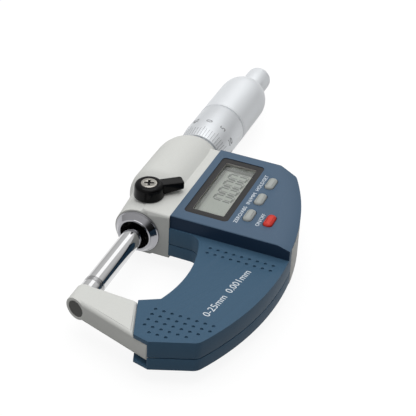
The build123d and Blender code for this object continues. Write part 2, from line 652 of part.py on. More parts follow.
def make_encoder_rotor():
    """Disc and hub that turn with the spindle and let it slide through."""
    rotor = rod(ROTOR_R, ROTOR_X, ROTOR_X + ROTOR_DISC) + rod(ROTOR_HUB_R, ROTOR_X, ROTOR_END)
    rotor -= rod(SPINDLE_R + RUN, ROTOR_X - 1, ROTOR_END + 1)
    return rotor - post(KEY_R + FIT, ROTOR_END - 2.0, 0, -ROTOR_R, 0)


def make_rotor_key():
    """Pin in the rotor's hub that runs in the spindle's keyway."""
    return post(KEY_R, ROTOR_END - 2.0, 0, -ROTOR_HUB_R + 0.1, -SPINDLE_R + KEY_DEPTH)


def make_rotor_retainer():
    """Ring that holds the rotor against the stator."""
    return tube(CHAMBER_R - FIT, ROTOR_HUB_R - 1.0, RETAINER_X, RETAINER_X + RETAINER_THICKNESS)


def make_flex_circuit():
    """Flexible strip from the stator to the main board."""
    width = 3.0
    thick = 0.2
    x0 = CHAMBER_X
    z0 = 1.6
    y_end = BOX_EDGE_Y - FRAME_WALL - 1.5
    flat = block(x0, x0 + width, y_end, -CHAMBER_R + 0.6, z0, z0 + thick)
    riser = block(x0, x0 + width, y_end - thick, y_end, z0, BOARD_BOTTOM - FIT)
    return flat + riser - make_encoder_stator()


# ------------------------------------------------------------------ sleeve and adjustment
def make_sleeve():
    """Fixed sleeve: seat in the barrel, graduated tube and split nut thread."""
    seat_end = BARREL_END - 1.0
    nut_x = SLEEVE_END - NUT_LENGTH
    seat_x = SLEEVE_END - ADJUSTER_LENGTH - 0.5
    body = turned(
        (SLEEVE_X, SLEEVE_BORE_R), (SLEEVE_X, CHAMBER_R - FIT), (seat_end, CHAMBER_R - FIT),
        (seat_end, SLEEVE_R), (seat_x, SLEEVE_R), (seat_x, ADJUSTER_SEAT_R),
        (SLEEVE_END, ADJUSTER_SEAT_R), (SLEEVE_END, THREAD_R + RUN), (nut_x, THREAD_R + RUN),
        (nut_x, SLEEVE_BORE_R))
    for turn in (60, 180, 300):
        slit = block(nut_x + 2.0, SLEEVE_END + 1, -0.25, 0.25, 0, SLEEVE_R + 1)
        body -= Rot(turn, 0, 0) * slit
    return body


def make_adjusting_nut():
    """Nut that closes the split thread, with two wrench notches."""
    start = SLEEVE_END - ADJUSTER_LENGTH
    nut = tube(ADJUSTER_R, ADJUSTER_SEAT_R + FIT, start, SLEEVE_END - 0.2)
    for side in (1, -1):
        nut -= block(SLEEVE_END - 1.6, SLEEVE_END, -0.8, 0.8, min(0, side * 9), max(0, side * 9))
    return nut


def make_thimble():
    """Thimble: graduated bevel, plain drum, hub on the spindle's taper and grip seat."""
    bevel_x = THIMBLE_X + BEVEL_LENGTH
    seat_end = GRIP_SHOULDER_X
    hub_r = SPINDLE_R
    return turned(
        (THIMBLE_X, THIMBLE_BORE_R), (THIMBLE_X, THIMBLE_FRONT_R), (bevel_x, THIMBLE_R),
        (GRIP_X, THIMBLE_R), (GRIP_X, GRIP_STEP_R), (seat_end, GRIP_STEP_R),
        (seat_end, RATCHET_R + 0.6), (HUB_END, RATCHET_R + 0.6),
        (HUB_END, hub_r - HUB_TAPER + FIT), (HUB_X, hub_r + FIT), (HUB_X, THIMBLE_BORE_R))


def make_rear_sleeve():
    """Knurled grip with a rounded shoulder."""
    edges = Polyline((GRIP_END, KNOB_STEM_R + CLEAR), (GRIP_X, KNOB_STEM_R + CLEAR), (GRIP_X, GRIP_R),
                     (GRIP_SHOULDER_X, GRIP_R))
    edges += Spline((GRIP_SHOULDER_X, GRIP_R), (GRIP_END, SHOULDER_R), tangents=[(1, 0), (0.35, -1)])
    edges += Line((GRIP_END, SHOULDER_R), (GRIP_END, KNOB_STEM_R + CLEAR))
    body = revolve(make_face(edges), Axis.X)
    body -= rod(GRIP_STEP_R + FIT, GRIP_X - 1, GRIP_SHOULDER_X + FIT)
    return body - rod(RATCHET_R + 0.6, GRIP_SHOULDER_X - 1, GRIP_END - 3.0)


# ------------------------------------------------------------------ ratchet
RATCHET_X = HUB_END + 1.6 + FIT
DRIVER_X = RATCHET_X + RATCHET_THICKNESS + RATCHET_GAP
DRIVER_END = DRIVER_X + RATCHET_THICKNESS


def toothed(x0, face_x, bore):
    """Disc with radial notches in one face."""
    disc = tube(RATCHET_R, bore, x0, x0 + RATCHET_THICKNESS)
    pitch = 360 / RATCHET_TEETH
    for tooth in range(RATCHET_TEETH):
        notch = Pos(face_x, 0, RATCHET_R) * Rot(0, 0, 45) * Box(0.7, 0.7, 3.0)
        disc -= Rot(tooth * pitch, 0, 0) * notch
    return disc


def make_ratchet_disc():
    """Toothed disc clamped to the end of the spindle."""
    return toothed(RATCHET_X, RATCHET_X + RATCHET_THICKNESS, RATCHET_SCREW_R + FIT)


def make_ratchet_driver():
    """Toothed disc that turns with the knob."""
    return toothed(DRIVER_X, DRIVER_X, KNOB_STEM_R + FIT)


def make_ratchet_spring():
    """Coil between the driver and the end of the grip."""
    start = DRIVER_END + SPRING_WIRE_R + 0.05
    stop = GRIP_END - 3.0 - SPRING_WIRE_R - 0.05
    turns = 3
    path = Helix(pitch=(stop - start) / turns, height=stop - start, radius=KNOB_STEM_R + 1.2,
                 center=(start, 0, 0), direction=(1, 0, 0))
    section = Plane(origin=path @ 0, z_dir=path % 0) * Circle(SPRING_WIRE_R)
    return sweep(section, path=path, is_frenet=True)


def make_ratchet_knob():
    """Knob with a hollow stem that passes through the grip's end."""
    knob = rod(KNOB_R, KNOB_X, KNOB_END) + rod(KNOB_STEM_R, DRIVER_X, KNOB_X)
    knob -= rod(RATCHET_SCREW_R + RUN, DRIVER_X - 1, KNOB_END)
    return knob - rod(RATCHET_HEAD_R + CLEAR, KNOB_END - 3.5, KNOB_END + 1)


def make_knob_cap():
    """Domed cap pressed into the knob's end."""
    start = KNOB_END
    edges = Polyline((start + CAP_LENGTH, 0), (start - 1.4, 0), (start - 1.4, RATCHET_HEAD_R + CLEAR - FIT),
                     (start, RATCHET_HEAD_R + CLEAR - FIT), (start, KNOB_R))
    edges += Spline((start, KNOB_R), (start + CAP_LENGTH, 0), tangents=[(0.9, -0.25), (0, -1)])
    return revolve(make_face(edges), Axis.X)


def make_ratchet_screw():
    """Shouldered screw on which the knob turns."""
    head_x = KNOB_END - 3.5 + 0.1
    shank = rod(RATCHET_SCREW_R, HUB_X - 3.0, head_x)
    head = rod(RATCHET_HEAD_R, head_x, head_x + 1.6)
    return shank + head - block(head_x + 0.9, head_x + 2, -0.4, 0.4, -5, 5)


# ------------------------------------------------------------------ display
def make_display_surround():
    """Dark surround with a stepped window opening."""
    ring = slab(rounded(DISPLAY_MIDDLE, DISPLAY_LENGTH, DISPLAY_WIDTH, DISPLAY_CORNER_R - FIT),
                SURROUND_BOTTOM, SURROUND_TOP)
    pane_top = SURROUND_BOTTOM + PANE_THICKNESS
    ring -= slab(rounded(VIEW_MIDDLE, VIEW_LENGTH, VIEW_WIDTH, 0.4), SURROUND_BOTTOM - 1, SURROUND_TOP + 1)
    seat = rounded(VIEW_MIDDLE, VIEW_LENGTH + 2 * PANEL_MARGIN, VIEW_WIDTH + 2 * PANEL_MARGIN, 0.4)
    return ring - slab(seat, SURROUND_BOTTOM - 1, pane_top)


def make_display_window():
    """Clear pane seated under the surround's lip."""
    margin = 2 * PANEL_MARGIN - 2 * FIT
    return slab(rounded(VIEW_MIDDLE, VIEW_LENGTH + margin, VIEW_WIDTH + margin, 0.4),
                SURROUND_BOTTOM + FIT, SURROUND_BOTTOM + PANE_THICKNESS - FIT)


def make_lcd_panel():
    """Liquid crystal panel behind the pane."""
    margin = 2 * PANEL_MARGIN
    top = SURROUND_BOTTOM - FIT
    return slab(rounded(VIEW_MIDDLE, VIEW_LENGTH + margin, VIEW_WIDTH + margin, 0.3),
                top - PANEL_THICKNESS, top)


def make_lcd_holder():
    """Open frame that carries the panel above the board."""
    length = VIEW_LENGTH + 2 * PANEL_MARGIN + 2 * CLEAR
    width = VIEW_WIDTH + 2 * PANEL_MARGIN + 2 * CLEAR
    top = SURROUND_BOTTOM - FIT
    seat = top - PANEL_THICKNESS - FIT
    outer = rounded(VIEW_MIDDLE, length + 2 * HOLDER_WALL, width + 2 * HOLDER_WALL, 0.6)
    holder = slab(outer, BOARD_TOP + FIT, top)
    holder -= slab(rounded(VIEW_MIDDLE, length, width, 0.4), seat, top + 1)
    return holder - slab(rounded(VIEW_MIDDLE, length - 3.0, width - 3.0, 0.4), BOARD_TOP - 1, top)


def make_contact_strip():
    """Elastomer strip from the board's pads to the panel's edge."""
    y1 = VIEW_MIDDLE[1] + VIEW_WIDTH / 2 - 0.4
    top = SURROUND_BOTTOM - 2 * FIT - PANEL_THICKNESS
    x0 = VIEW_X0 + 1.0
    return block(x0, x0 + VIEW_LENGTH - 2.0, y1 - 1.5, y1, BOARD_TOP + FIT, top - FIT)


def make_main_board():
    """Main circuit board on the frame's bosses."""
    plan = inner_outline(FRAME_WALL + 0.4) & behind(SEAM_X + FRAME_WALL + 0.4)
    board = slab(plan, BOARD_BOTTOM, BOARD_TOP)
    for x, y in BODY_POSTS:
        board -= post(SCREW_R + CLEAR, x, y, BOARD_BOTTOM - 1, BOARD_TOP + 1)
    return board


def make_key_mat():
    """Rubber mat with one dome under each button."""
    x0 = BUTTON_X - 4.0
    x1 = BUTTON_X + 2 * BUTTON_PITCH + 4.0
    mat_plan = plan_block(x0, x1, BUTTON_ROW_Y - 2.4, BUTTON_ROW_Y + 2.4)
    mat_plan += plan_block(x0 + 1.8, BUTTON_X + 4.0, POWER_ROW_Y - 2.2, BUTTON_ROW_Y)
    mat = slab(mat_plan, BOARD_TOP + FIT, BOARD_TOP + MAT_THICKNESS)
    for x, y in BUTTONS.values():
        mat += cone_post(1.6, 1.1, x, y, BOARD_TOP + MAT_THICKNESS, BOARD_TOP + MAT_THICKNESS + 0.5)
    for x, y in BODY_POSTS:
        mat -= post(POST_R + 0.4, x, y, BOARD_TOP - 1, BOARD_TOP + 3)
    return mat


def make_button(x, y):
    """Push button: cap, retaining flange and plunger."""
    top = BOX_TOP + BUTTON_PROUD
    cap = slab(rounded((x, y), BUTTON_LENGTH, BUTTON_WIDTH, BUTTON_CORNER_R), BOX_UNDER - 0.3, top)
    cap = fillet(cap.edges().filter_by(lambda e: abs(e.center().Z - top) < 0.01), 0.65)
    flange = slab(rounded((x, y), BUTTON_LENGTH + 1.2, BUTTON_WIDTH + 1.2, BUTTON_CORNER_R),
                  BOX_UNDER - 0.15 - BUTTON_FLANGE, BOX_UNDER - 0.15)
    rest = BOARD_TOP + MAT_THICKNESS + 0.5 + BUTTON_TRAVEL + 0.1
    return cap + flange + post(1.1, x, y, rest, BOX_UNDER - 0.3)


# ------------------------------------------------------------------ battery
def make_battery():
    """Button cell with a raised negative cap."""
    top = CELL_BOTTOM + BATTERY_HEIGHT
    can = post(BATTERY_R, BATTERY_X, BATTERY_Y, CELL_BOTTOM, top - 0.6)
    return can + post(BATTERY_R - 1.0, BATTERY_X, BATTERY_Y, CELL_BOTTOM, top)


def make_battery_spring():
    """Leaf contact under the board that presses on the cell's cap."""
    cell_top = CELL_BOTTOM + BATTERY_HEIGHT
    leaf = block(BATTERY_X - 4.0, BATTERY_X + 4.0, BATTERY_Y - 1.0, BATTERY_Y + 1.0,
                 cell_top + FIT, cell_top + 0.25)
    foot = block(BATTERY_X - 4.0, BATTERY_X - 3.75, BATTERY_Y - 1.0, BATTERY_Y + 1.0,
                 cell_top + 0.25, BOARD_BOTTOM - FIT)
    return leaf + foot


def make_lid_contact():
    """Contact plate in the battery cover."""
    return post(BATTERY_R, BATTERY_X, BATTERY_Y, LID_TOP + FIT, CELL_BOTTOM - FIT)


def make_battery_cover():
    """Round lid with a coin slot and two bayonet lugs."""
    lid = post(LID_R, BATTERY_X, BATTERY_Y, BACK_Z, LID_TOP)
    lid -= Pos(BATTERY_X, BATTERY_Y, BACK_Z) * Box(LID_R * 1.3, COIN_SLOT_WIDTH, 1.4)
    ring = Circle(LID_R + LUG_REACH) - Circle(BATTERY_R + CLEAR)
    lugs = ring & Rectangle(3 * LID_R, LUG_WIDTH)
    return lid + slab(Pos(BATTERY_X, BATTERY_Y) * lugs, LID_TOP, LUG_TOP)


# ------------------------------------------------------------------ fasteners
def screw(x, y, z0, length):
    """Countersunk screw, head down."""
    body = cone_post(SCREW_HEAD_R, SCREW_R, x, y, z0, z0 + 1.0) + post(SCREW_R, x, y, z0 + 0.9, z0 + length)
    for turn in (0, 90):
        body -= Pos(x, y, z0) * Rot(0, 0, turn) * Box(2.2, 0.5, 1.1)
    return body


def make_cover_screws():
    """Screws through the back cover into the frame and the front cover's posts."""
    body = [screw(x, y, BACK_Z + 0.1, 5.0) for x, y in BACK_SCREWS]
    bow = [screw(x, y, BACK_Z + 0.1, 7.2) for x, y in BOW_POSTS]
    return Compound(children=body + bow)


def make_board_screws():
    """Screws from the tray's underside into the display box's posts."""
    shafts = []
    for x, y in BODY_POSTS:
        head = post(SCREW_HEAD_R, x, y, WEB_BOTTOM - 1.5, WEB_BOTTOM - 0.5 - FIT)
        shafts.append(head + post(SCREW_R, x, y, WEB_BOTTOM - 0.6, BOARD_TOP + 2.4))
    return Compound(children=shafts)


# ------------------------------------------------------------------ build and write
def build_pieces():
    """Every piece by its node name, in the working frame."""
    pieces = {
        "frame": make_frame(),
        "front_cover": make_front_cover(),
        "back_cover": make_back_cover(),
        "anvil": make_anvil(),
        "anvil_tip": rod(SPINDLE_R, -TIP_LENGTH, 0),
        "spindle": make_spindle(),
        "spindle_tip": rod(SPINDLE_R, 0, TIP_LENGTH),
        "nose_collar": make_nose_collar(),
        "wiper_ring": make_wiper_ring(),
        "spindle_bush": make_spindle_bush(),
        "lock_lever": make_lock_lever(),
        "lock_stem": make_lock_stem(),
        "lock_screw": make_lock_screw(),
        "lock_pin": make_lock_pin(),
        "encoder_stator": make_encoder_stator(),
        "encoder_rotor": make_encoder_rotor(),
        "rotor_key": make_rotor_key(),
        "rotor_retainer": make_rotor_retainer(),
        "flex_circuit": make_flex_circuit(),
        "sleeve": make_sleeve(),
        "adjusting_nut": make_adjusting_nut(),
        "thimble": make_thimble(),
        "rear_sleeve": make_rear_sleeve(),
        "ratchet_disc": make_ratchet_disc(),
        "ratchet_driver": make_ratchet_driver(),
        "ratchet_spring": make_ratchet_spring(),
        "ratchet_screw": make_ratchet_screw(),
        "ratchet_knob": make_ratchet_knob(),
        "knob_cap": make_knob_cap(),
        "display_surround": make_display_surround(),
        "display_window": make_display_window(),
        "lcd_panel": make_lcd_panel(),
        "lcd_holder": make_lcd_holder(),
        "contact_strip": make_contact_strip(),
        "main_board": make_main_board(),
        "key_mat": make_key_mat(),
        "battery": make_battery(),
        "battery_spring": make_battery_spring(),
        "lid_contact": make_lid_contact(),
        "battery_cover": make_battery_cover(),
        "cover_screws": make_cover_screws(),
        "board_screws": make_board_screws(),
    }
    for name, place in BUTTONS.items():
        pieces[name] = make_button(*place)
    return pieces


def main():
    """Move all pieces to the row's origin and write one file each."""
    os.makedirs("parts", exist_ok=True)
    pieces = build_pieces()
    boxes = [piece.bounding_box() for piece in pieces.values()]
    low = [min(getattr(box.min, axis) for box in boxes) for axis in "XYZ"]
    high = [max(getattr(box.max, axis) for box in boxes) for axis in "XYZ"]
    shift = Pos(-(low[0] + high[0]) / 2, -(low[1] + high[1]) / 2, -low[2])
    print("shift", shift.position, "size", [high[i] - low[i] for i in range(3)])
    for name, piece in pieces.items():
        export_step(shift * piece, f"parts/{name}.step")


main()
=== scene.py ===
"""Digital outside micrometer, 0-25 mm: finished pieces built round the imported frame."""

import json
import math

import bpy
from mathutils import Matrix, Vector


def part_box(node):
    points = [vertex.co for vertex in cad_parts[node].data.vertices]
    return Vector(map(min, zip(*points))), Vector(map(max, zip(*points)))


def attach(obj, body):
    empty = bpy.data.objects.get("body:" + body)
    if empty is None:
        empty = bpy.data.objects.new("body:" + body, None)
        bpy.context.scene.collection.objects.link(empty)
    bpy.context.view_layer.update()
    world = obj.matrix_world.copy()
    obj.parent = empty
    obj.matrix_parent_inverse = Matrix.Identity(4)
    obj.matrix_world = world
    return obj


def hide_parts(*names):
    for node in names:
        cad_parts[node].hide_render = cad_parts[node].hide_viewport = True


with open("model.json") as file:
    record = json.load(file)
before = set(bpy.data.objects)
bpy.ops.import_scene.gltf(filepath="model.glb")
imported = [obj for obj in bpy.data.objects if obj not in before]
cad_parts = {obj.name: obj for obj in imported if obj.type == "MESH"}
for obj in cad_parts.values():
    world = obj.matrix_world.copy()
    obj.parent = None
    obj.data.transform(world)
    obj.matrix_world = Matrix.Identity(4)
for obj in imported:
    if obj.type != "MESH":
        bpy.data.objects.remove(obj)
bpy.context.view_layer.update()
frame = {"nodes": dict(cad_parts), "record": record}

bl_info = {
    "name": "Outside Micrometer",
    "version": (1, 0, 0),
    "blender": (4, 5, 0),
    "location": "View3D > Sidebar > Micrometer",
    "description": "Builds the finished pieces of a digital outside micrometer",
    "category": "Add Mesh",
}

MM = 0.001
NODES = frame["nodes"]
RECORD = frame["record"]
BODY_OF = {node: body for body, nodes in RECORD["behaviour"]["bodies"].items() for node in nodes}


def measuring_point():
    """Middle of the closed measuring faces, in the row frame."""
    low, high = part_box("spindle_tip")
    return Vector((low.x, (low.y + high.y) / 2, (low.z + high.z) / 2))


ORIGIN = measuring_point()


def from_face(node, side):
    """Lowest (side 0) or highest (side 1) x of a node, in mm behind the measuring face."""
    return (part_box(node)[side].x - ORIGIN.x) / MM


def level_of(node, side):
    """Lowest or highest z of a node, in mm above the spindle axis."""
    return (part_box(node)[side].z - ORIGIN.z) / MM


def radius_of(node):
    """Outer radius of a turned node, in mm."""
    low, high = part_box(node)
    return (high.y - low.y) / 2 / MM


def srgb(red, green, blue):
    """Linear colour from 0-255 values."""
    linear = []
    for value in (red, green, blue):
        share = value / 255
        linear.append(share / 12.92 if share <= 0.04045 else ((share + 0.055) / 1.055) ** 2.4)
    return (*linear, 1.0)


# ------------------------------------------------------------------ properties
def colour(name, rgb, text):
    """Colour property with a default given as 0-255 values."""
    return bpy.props.FloatVectorProperty(
        name=name, description=text, subtype="COLOR", size=4, min=0, max=1, default=srgb(*rgb))


def length(name, millimetres, text):
    """Length property with a default given in millimetres."""
    return bpy.props.FloatProperty(
        name=name, description=text, default=millimetres * MM, subtype="DISTANCE", unit="LENGTH",
        min=0.0, precision=6)


class MicrometerSizes(bpy.types.PropertyGroup):
    """Sizes of the details that the frame doesn't hold."""
    moulding_edge: length("Moulding Edge", 0.22, "Radius on the edges of the plastic mouldings")
    casting_edge: length("Casting Edge", 0.35, "Radius on the edges of the enamelled frame")
    metal_edge: length("Metal Edge", 0.12, "Radius on the edges of the turned pieces")
    graduation_width: length("Graduation Width", 0.11, "Width of a graduation line")
    graduation_length: length("Graduation Length", 4.2, "Length of a short line on the bevel")
    long_graduation: length("Long Graduation", 5.2, "Length of every fifth line on the bevel")
    numeral_height: length("Numeral Height", 2.3, "Height of the numerals on the thimble")
    scale_numeral: length("Scale Numeral", 1.7, "Height of the numerals on the sleeve")
    label_height: length("Label Height", 1.25, "Height of the lettering beside the buttons")
    range_height: length("Range Height", 2.35, "Height of the measuring range lettering")
    digit_height: length("Digit Height", 5.9, "Height of the digits in the display")
    digit_width: length("Digit Width", 2.75, "Width of a digit in the display")
    segment_width: length("Segment Width", 0.55, "Width of a digit's bars")


class MicrometerColours(bpy.types.PropertyGroup):
    """Colours of the finishes."""
    grey_enamel: colour("Grey Enamel", (211, 212, 208), "Frame casting")
    blue_moulding: colour("Blue Moulding", (57, 88, 112), "Covers and battery lid")
    # painted shade: the step face between the display box and the plate is coloured darker than the
    # moulding
    box_side_painted_shade: colour("Box Side Painted Shade", (26, 46, 68), "Side of the display box above the plate")
    # the smoother finish is real; the paler tone is a painted sheen of sky light on the box's top
    box_top_painted_sheen: colour("Box Top Painted Sheen", (66, 91, 115), "Top of the display box")
    black_plastic: colour("Black Plastic", (11, 11, 12), "Lock lever")
    satin_chrome: colour("Satin Chrome", (223, 226, 229), "Thimble and sleeve")
    frosted_chrome: colour("Frosted Chrome", (232, 235, 238), "Knurled grip, plain knob and cap")
    chrome: colour("Chrome", (163, 163, 167), "Nose collar")
    ground_steel: colour("Ground Steel", (216, 216, 217), "Spindle and anvil")
    surround: colour("Display Surround", (40, 39, 40), "Surround of the display")
    display: colour("Display", (162, 168, 160), "Liquid crystal panel")
    digits: colour("Digits", (108, 113, 108), "Bars of the digits")
    button_grey: colour("Grey Button", (165, 169, 166), "Function buttons")
    button_red: colour("Red Button", (204, 48, 36), "Power button")
    lettering: colour("Lettering", (215, 222, 228), "Printed lettering")
    engraving: colour("Engraving", (112, 114, 117), "Filled lines and numerals")


def sizes():
    return bpy.context.scene.micrometer_sizes


def colours():
    return bpy.context.scene.micrometer_colours


# ------------------------------------------------------------------ finishes
def finish(name, base, roughness, metallic=0.0, **sockets):
    """Principled shader with its sockets set, named apart from the frame's own materials."""
    name += "_finish"
    known = bpy.data.materials.get(name)
    if known:
        return known
    made = bpy.data.materials.new(name)
    made.use_nodes = True
    shader = made.node_tree.nodes["Principled BSDF"]
    shader.inputs["Base Color"].default_value = base
    shader.inputs["Roughness"].default_value = roughness
    shader.inputs["Metallic"].default_value = metallic
    for socket, value in sockets.items():
        shader.inputs[socket.replace("_", " ")].default_value = value
    return made


def grey(level):
    """Opaque grey of one linear level."""
    return (level, level, level, 1)


def map_range(nodes, links, value, start, end, low=0.0, high=1.0, smooth=False):
    """Socket with a value taken from one range to another."""
    made = nodes.new("ShaderNodeMapRange")
    if smooth:
        made.interpolation_type = "SMOOTHSTEP"
    for name, number in (
            ("From Min", start), ("From Max", end), ("To Min", low), ("To Max", high)):
        made.inputs[name].default_value = number
    links.new(value, made.inputs["Value"])
    return made.outputs["Result"]


def colour_ramp(nodes, links, value, stops):
    """Socket with a colour that follows a value through (position, colour) stops."""
    ramp = nodes.new("ShaderNodeValToRGB")
    elements = ramp.color_ramp.elements
    for element, (position, tone) in zip(elements, (stops[0], stops[-1])):
        element.position, element.color = position, tone
    for position, tone in stops[1:-1]:
        elements.new(position).color = tone
    links.new(value, ramp.inputs["Fac"])
    return ramp.outputs["Color"]


def multiplied(nodes, links, factor):
    """Mix node that multiplies its input A by a factor's socket."""
    mix = nodes.new("ShaderNodeMix")
    mix.data_type = "RGBA"
    mix.blend_type = "MULTIPLY"
    mix.inputs["Factor"].default_value = 1.0
    links.new(factor, mix.inputs["B"])
    return mix


GRAIN_SPAN = (0.3, 0.7)    # part of the noise's range that the grain uses


def grained(made, size, depth, stretch=(1, 1, 1), shade=0.0, gloss=0.0):
    """Adds a grain to a finish: size in mm, depth in mm, stretch along each axis."""
    if made.get("grained"):
        return made
    made["grained"] = True
    nodes, links = made.node_tree.nodes, made.node_tree.links
    shader = nodes["Principled BSDF"]
    place = nodes.new("ShaderNodeTexCoord")
    mapping = nodes.new("ShaderNodeMapping")
    mapping.inputs["Location"].default_value = [-part for part in ORIGIN]
    mapping.inputs["Scale"].default_value = [1 / part for part in stretch]
    grain = nodes.new("ShaderNodeTexNoise")
    grain.inputs["Scale"].default_value = 1 / (size * MM)
    grain.inputs["Detail"].default_value = 3.0
    links.new(place.outputs["Object"], mapping.inputs["Vector"])
    links.new(mapping.outputs["Vector"], grain.inputs["Vector"])
    if depth:
        bump = nodes.new("ShaderNodeBump")
        bump.inputs["Distance"].default_value = depth * MM
        bump.inputs["Strength"].default_value = 1.0
        links.new(grain.outputs["Fac"], bump.inputs["Height"])
        links.new(bump.outputs["Normal"], shader.inputs["Normal"])
    if shade:
        base = shader.inputs["Base Color"].default_value[:3]
        tones = [[min(1, part * share) for part in base] + [1] for share in (1 - shade, 1 + shade)]
        mottled = colour_ramp(nodes, links, grain.outputs["Fac"], list(zip(GRAIN_SPAN, tones)))
        links.new(mottled, shader.inputs["Base Color"])
    if gloss:
        rough = shader.inputs["Roughness"].default_value
        spread = map_range(
            nodes, links, grain.outputs["Fac"], *GRAIN_SPAN, rough - gloss, rough + gloss)
        links.new(spread, shader.inputs["Roughness"])
    return made


ALONG_RINGS = (0.04, 40, 40)    # grain drawn out round the spindle axis


def grey_enamel():
    return grained(finish("grey_enamel", colours().grey_enamel, 0.58), 0.55, 0.010, shade=0.015)


def blue_moulding():
    made = finish("blue_moulding", colours().blue_moulding, 0.55, Specular_IOR_Level=0.25)
    return grained(made, 0.3, 0.010, shade=0.03)


def box_top_painted_sheen():
    """Smoother than the rest of the moulding, and paler as a painted sheen of sky light on the top.
    """
    made = finish("box_top_painted_sheen", colours().box_top_painted_sheen, 0.45, Specular_IOR_Level=0.35)
    return grained(made, 0.3, 0.005, shade=0.03)


def box_side_painted_shade():
    """Painted shade: darker face between the box and the plate."""
    made = finish("box_side_painted_shade", colours().box_side_painted_shade, 0.5, Specular_IOR_Level=0.15)
    return grained(made, 0.3, 0.005, shade=0.03)


def black_plastic():
    return finish("black_plastic", colours().black_plastic, 0.2, Specular_IOR_Level=0.12)


def satin_chrome():
    made = finish("satin_chrome", colours().satin_chrome, 0.48, 0.6)
    return grained(made, 1.2, 0.004, ALONG_RINGS, shade=0.03, gloss=0.05)


def frosted_chrome():
    return finish("frosted_chrome", colours().frosted_chrome, 0.5, 0.4)


def chrome():
    return finish("chrome", colours().chrome, 0.12, 1.0)


def ground_steel():
    made = finish("ground_steel", colours().ground_steel, 0.07, 1.0)
    return grained(made, 1.0, 0.0008, ALONG_RINGS, shade=0.05, gloss=0.02)


def dark_steel():
    made = finish("dark_steel", srgb(38, 39, 35), 0.42, 0.5)
    return grained(made, 1.0, 0.003, ALONG_RINGS, shade=0.08)


def carbide():
    return finish("carbide", srgb(168, 168, 169), 0.2, 1.0)


def engraving():
    return finish("engraving", colours().engraving, 0.6)


def lettering():
    return finish("lettering", colours().lettering, 0.5)


def display_surround():
    return grained(finish("surround", colours().surround, 0.4, Specular_IOR_Level=0.25), 0.5, 0.006)


def panel_grey_painted_shade():
    """Panel colour with painted shade of the bezel: darker at the front end, in a band at the rear
    end and along the side by the barrel, and paler again close to the rear wall as painted light
    against the shadow there.
    """
    made = finish("panel_grey_painted_shade", colours().display, 0.28)
    if made.get("banded"):
        return made
    made["banded"] = True
    nodes, links = made.node_tree.nodes, made.node_tree.links
    low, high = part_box("lcd_panel")
    place = nodes.new("ShaderNodeTexCoord")
    split = nodes.new("ShaderNodeSeparateXYZ")
    links.new(place.outputs["Object"], split.inputs["Vector"])
    # painted shade at both ends of the panel, with painted light next to the rear wall
    along = display_ramp(nodes, links, split.outputs["X"], low.x, high.x, (
        (0.0, 0.80), (0.10, 0.97), (0.5, 1.0), (0.845, 0.98),
        (0.862, 0.36), (0.93, 0.36), (0.955, 0.75)))
    # painted shade along the side by the barrel
    across = display_ramp(nodes, links, split.outputs["Y"], low.y, high.y, (
        (0.0, 1.0), (0.70, 1.0), (0.78, 0.80), (0.81, 0.46), (0.91, 0.40)))
    tint = multiplied(nodes, links, along)
    tint.inputs["A"].default_value = colours().display
    both = multiplied(nodes, links, across)
    links.new(tint.outputs["Result"], both.inputs["A"])
    links.new(both.outputs["Result"], nodes["Principled BSDF"].inputs["Base Color"])
    return made


def display_ramp(nodes, links, value, start, end, steps):
    """Painted shade levels along one axis of the panel."""
    share = map_range(nodes, links, value, start, end)
    return colour_ramp(nodes, links, share, [(position, grey(level)) for position, level in steps])


def clear_pane():
    return finish("clear_pane", (1, 1, 1, 1), 0.02, Transmission_Weight=1.0, IOR=1.15)


def button_rubber(name, base):
    return grained(finish(name, base, 0.45, Specular_IOR_Level=0.35), 0.35, 0.01)


def dull(name, rgb, roughness=0.5, metallic=0.0):
    return finish(name, srgb(*rgb), roughness, metallic)


def brass():
    return dull("brass", (190, 152, 80), 0.3, 1.0)


def black_steel():
    return dull("black_steel", (36, 36, 38), 0.4, 1.0)


def spring_steel():
    return dull("spring_steel", (150, 152, 155), 0.3, 1.0)


# ------------------------------------------------------------------ bench work
def put_down():
    """Leaves edit mode with nothing selected."""
    if bpy.context.object and bpy.context.object.mode != "OBJECT":
        bpy.ops.object.mode_set(mode="OBJECT")
    bpy.ops.object.select_all(action="DESELECT")


def pick_up(piece, editing=False):
    """Selects one piece alone, and opens its mesh with everything selected if asked."""
    put_down()
    piece.select_set(True)
    bpy.context.view_layer.objects.active = piece
    if editing:
        bpy.ops.object.mode_set(mode="EDIT")
        bpy.ops.mesh.select_all(action="SELECT")


def apply_place():
    """Writes the place, turn and scale of what is selected into its mesh."""
    bpy.ops.object.transform_apply(location=True, rotation=True, scale=True)


def reopen(piece):
    """Opens a piece's mesh with the selection that was set on its faces or points."""
    piece.select_set(True)
    bpy.context.view_layer.objects.active = piece
    bpy.ops.object.mode_set(mode="EDIT")


def unmark(piece):
    """Leaves nothing selected in a piece's mesh."""
    pick_up(piece, editing=True)
    bpy.ops.mesh.select_all(action="DESELECT")
    put_down()


def face_outwards():
    """Turns every face of the open mesh outwards, and closes it."""
    bpy.ops.mesh.select_all(action="SELECT")
    bpy.ops.mesh.normals_make_consistent(inside=False)
    put_down()


def join(pieces, name):
    """Joins pieces into the first."""
    put_down()
    for piece in pieces:
        piece.select_set(True)
    bpy.context.view_layer.objects.active = pieces[0]
    if len(pieces) > 1:
        bpy.ops.object.join()
    pieces[0].name = name
    return pieces[0]


def another(piece, move=(0, 0, 0), turn=0.0):
    """Copy of a piece with its own mesh, moved in mm and turned about the spindle axis."""
    pick_up(piece)
    bpy.ops.object.duplicate(linked=False)
    made = bpy.context.object
    place = Matrix.Translation(move) @ Matrix.Rotation(turn, 4, "X")
    made.data.transform(place)
    return made


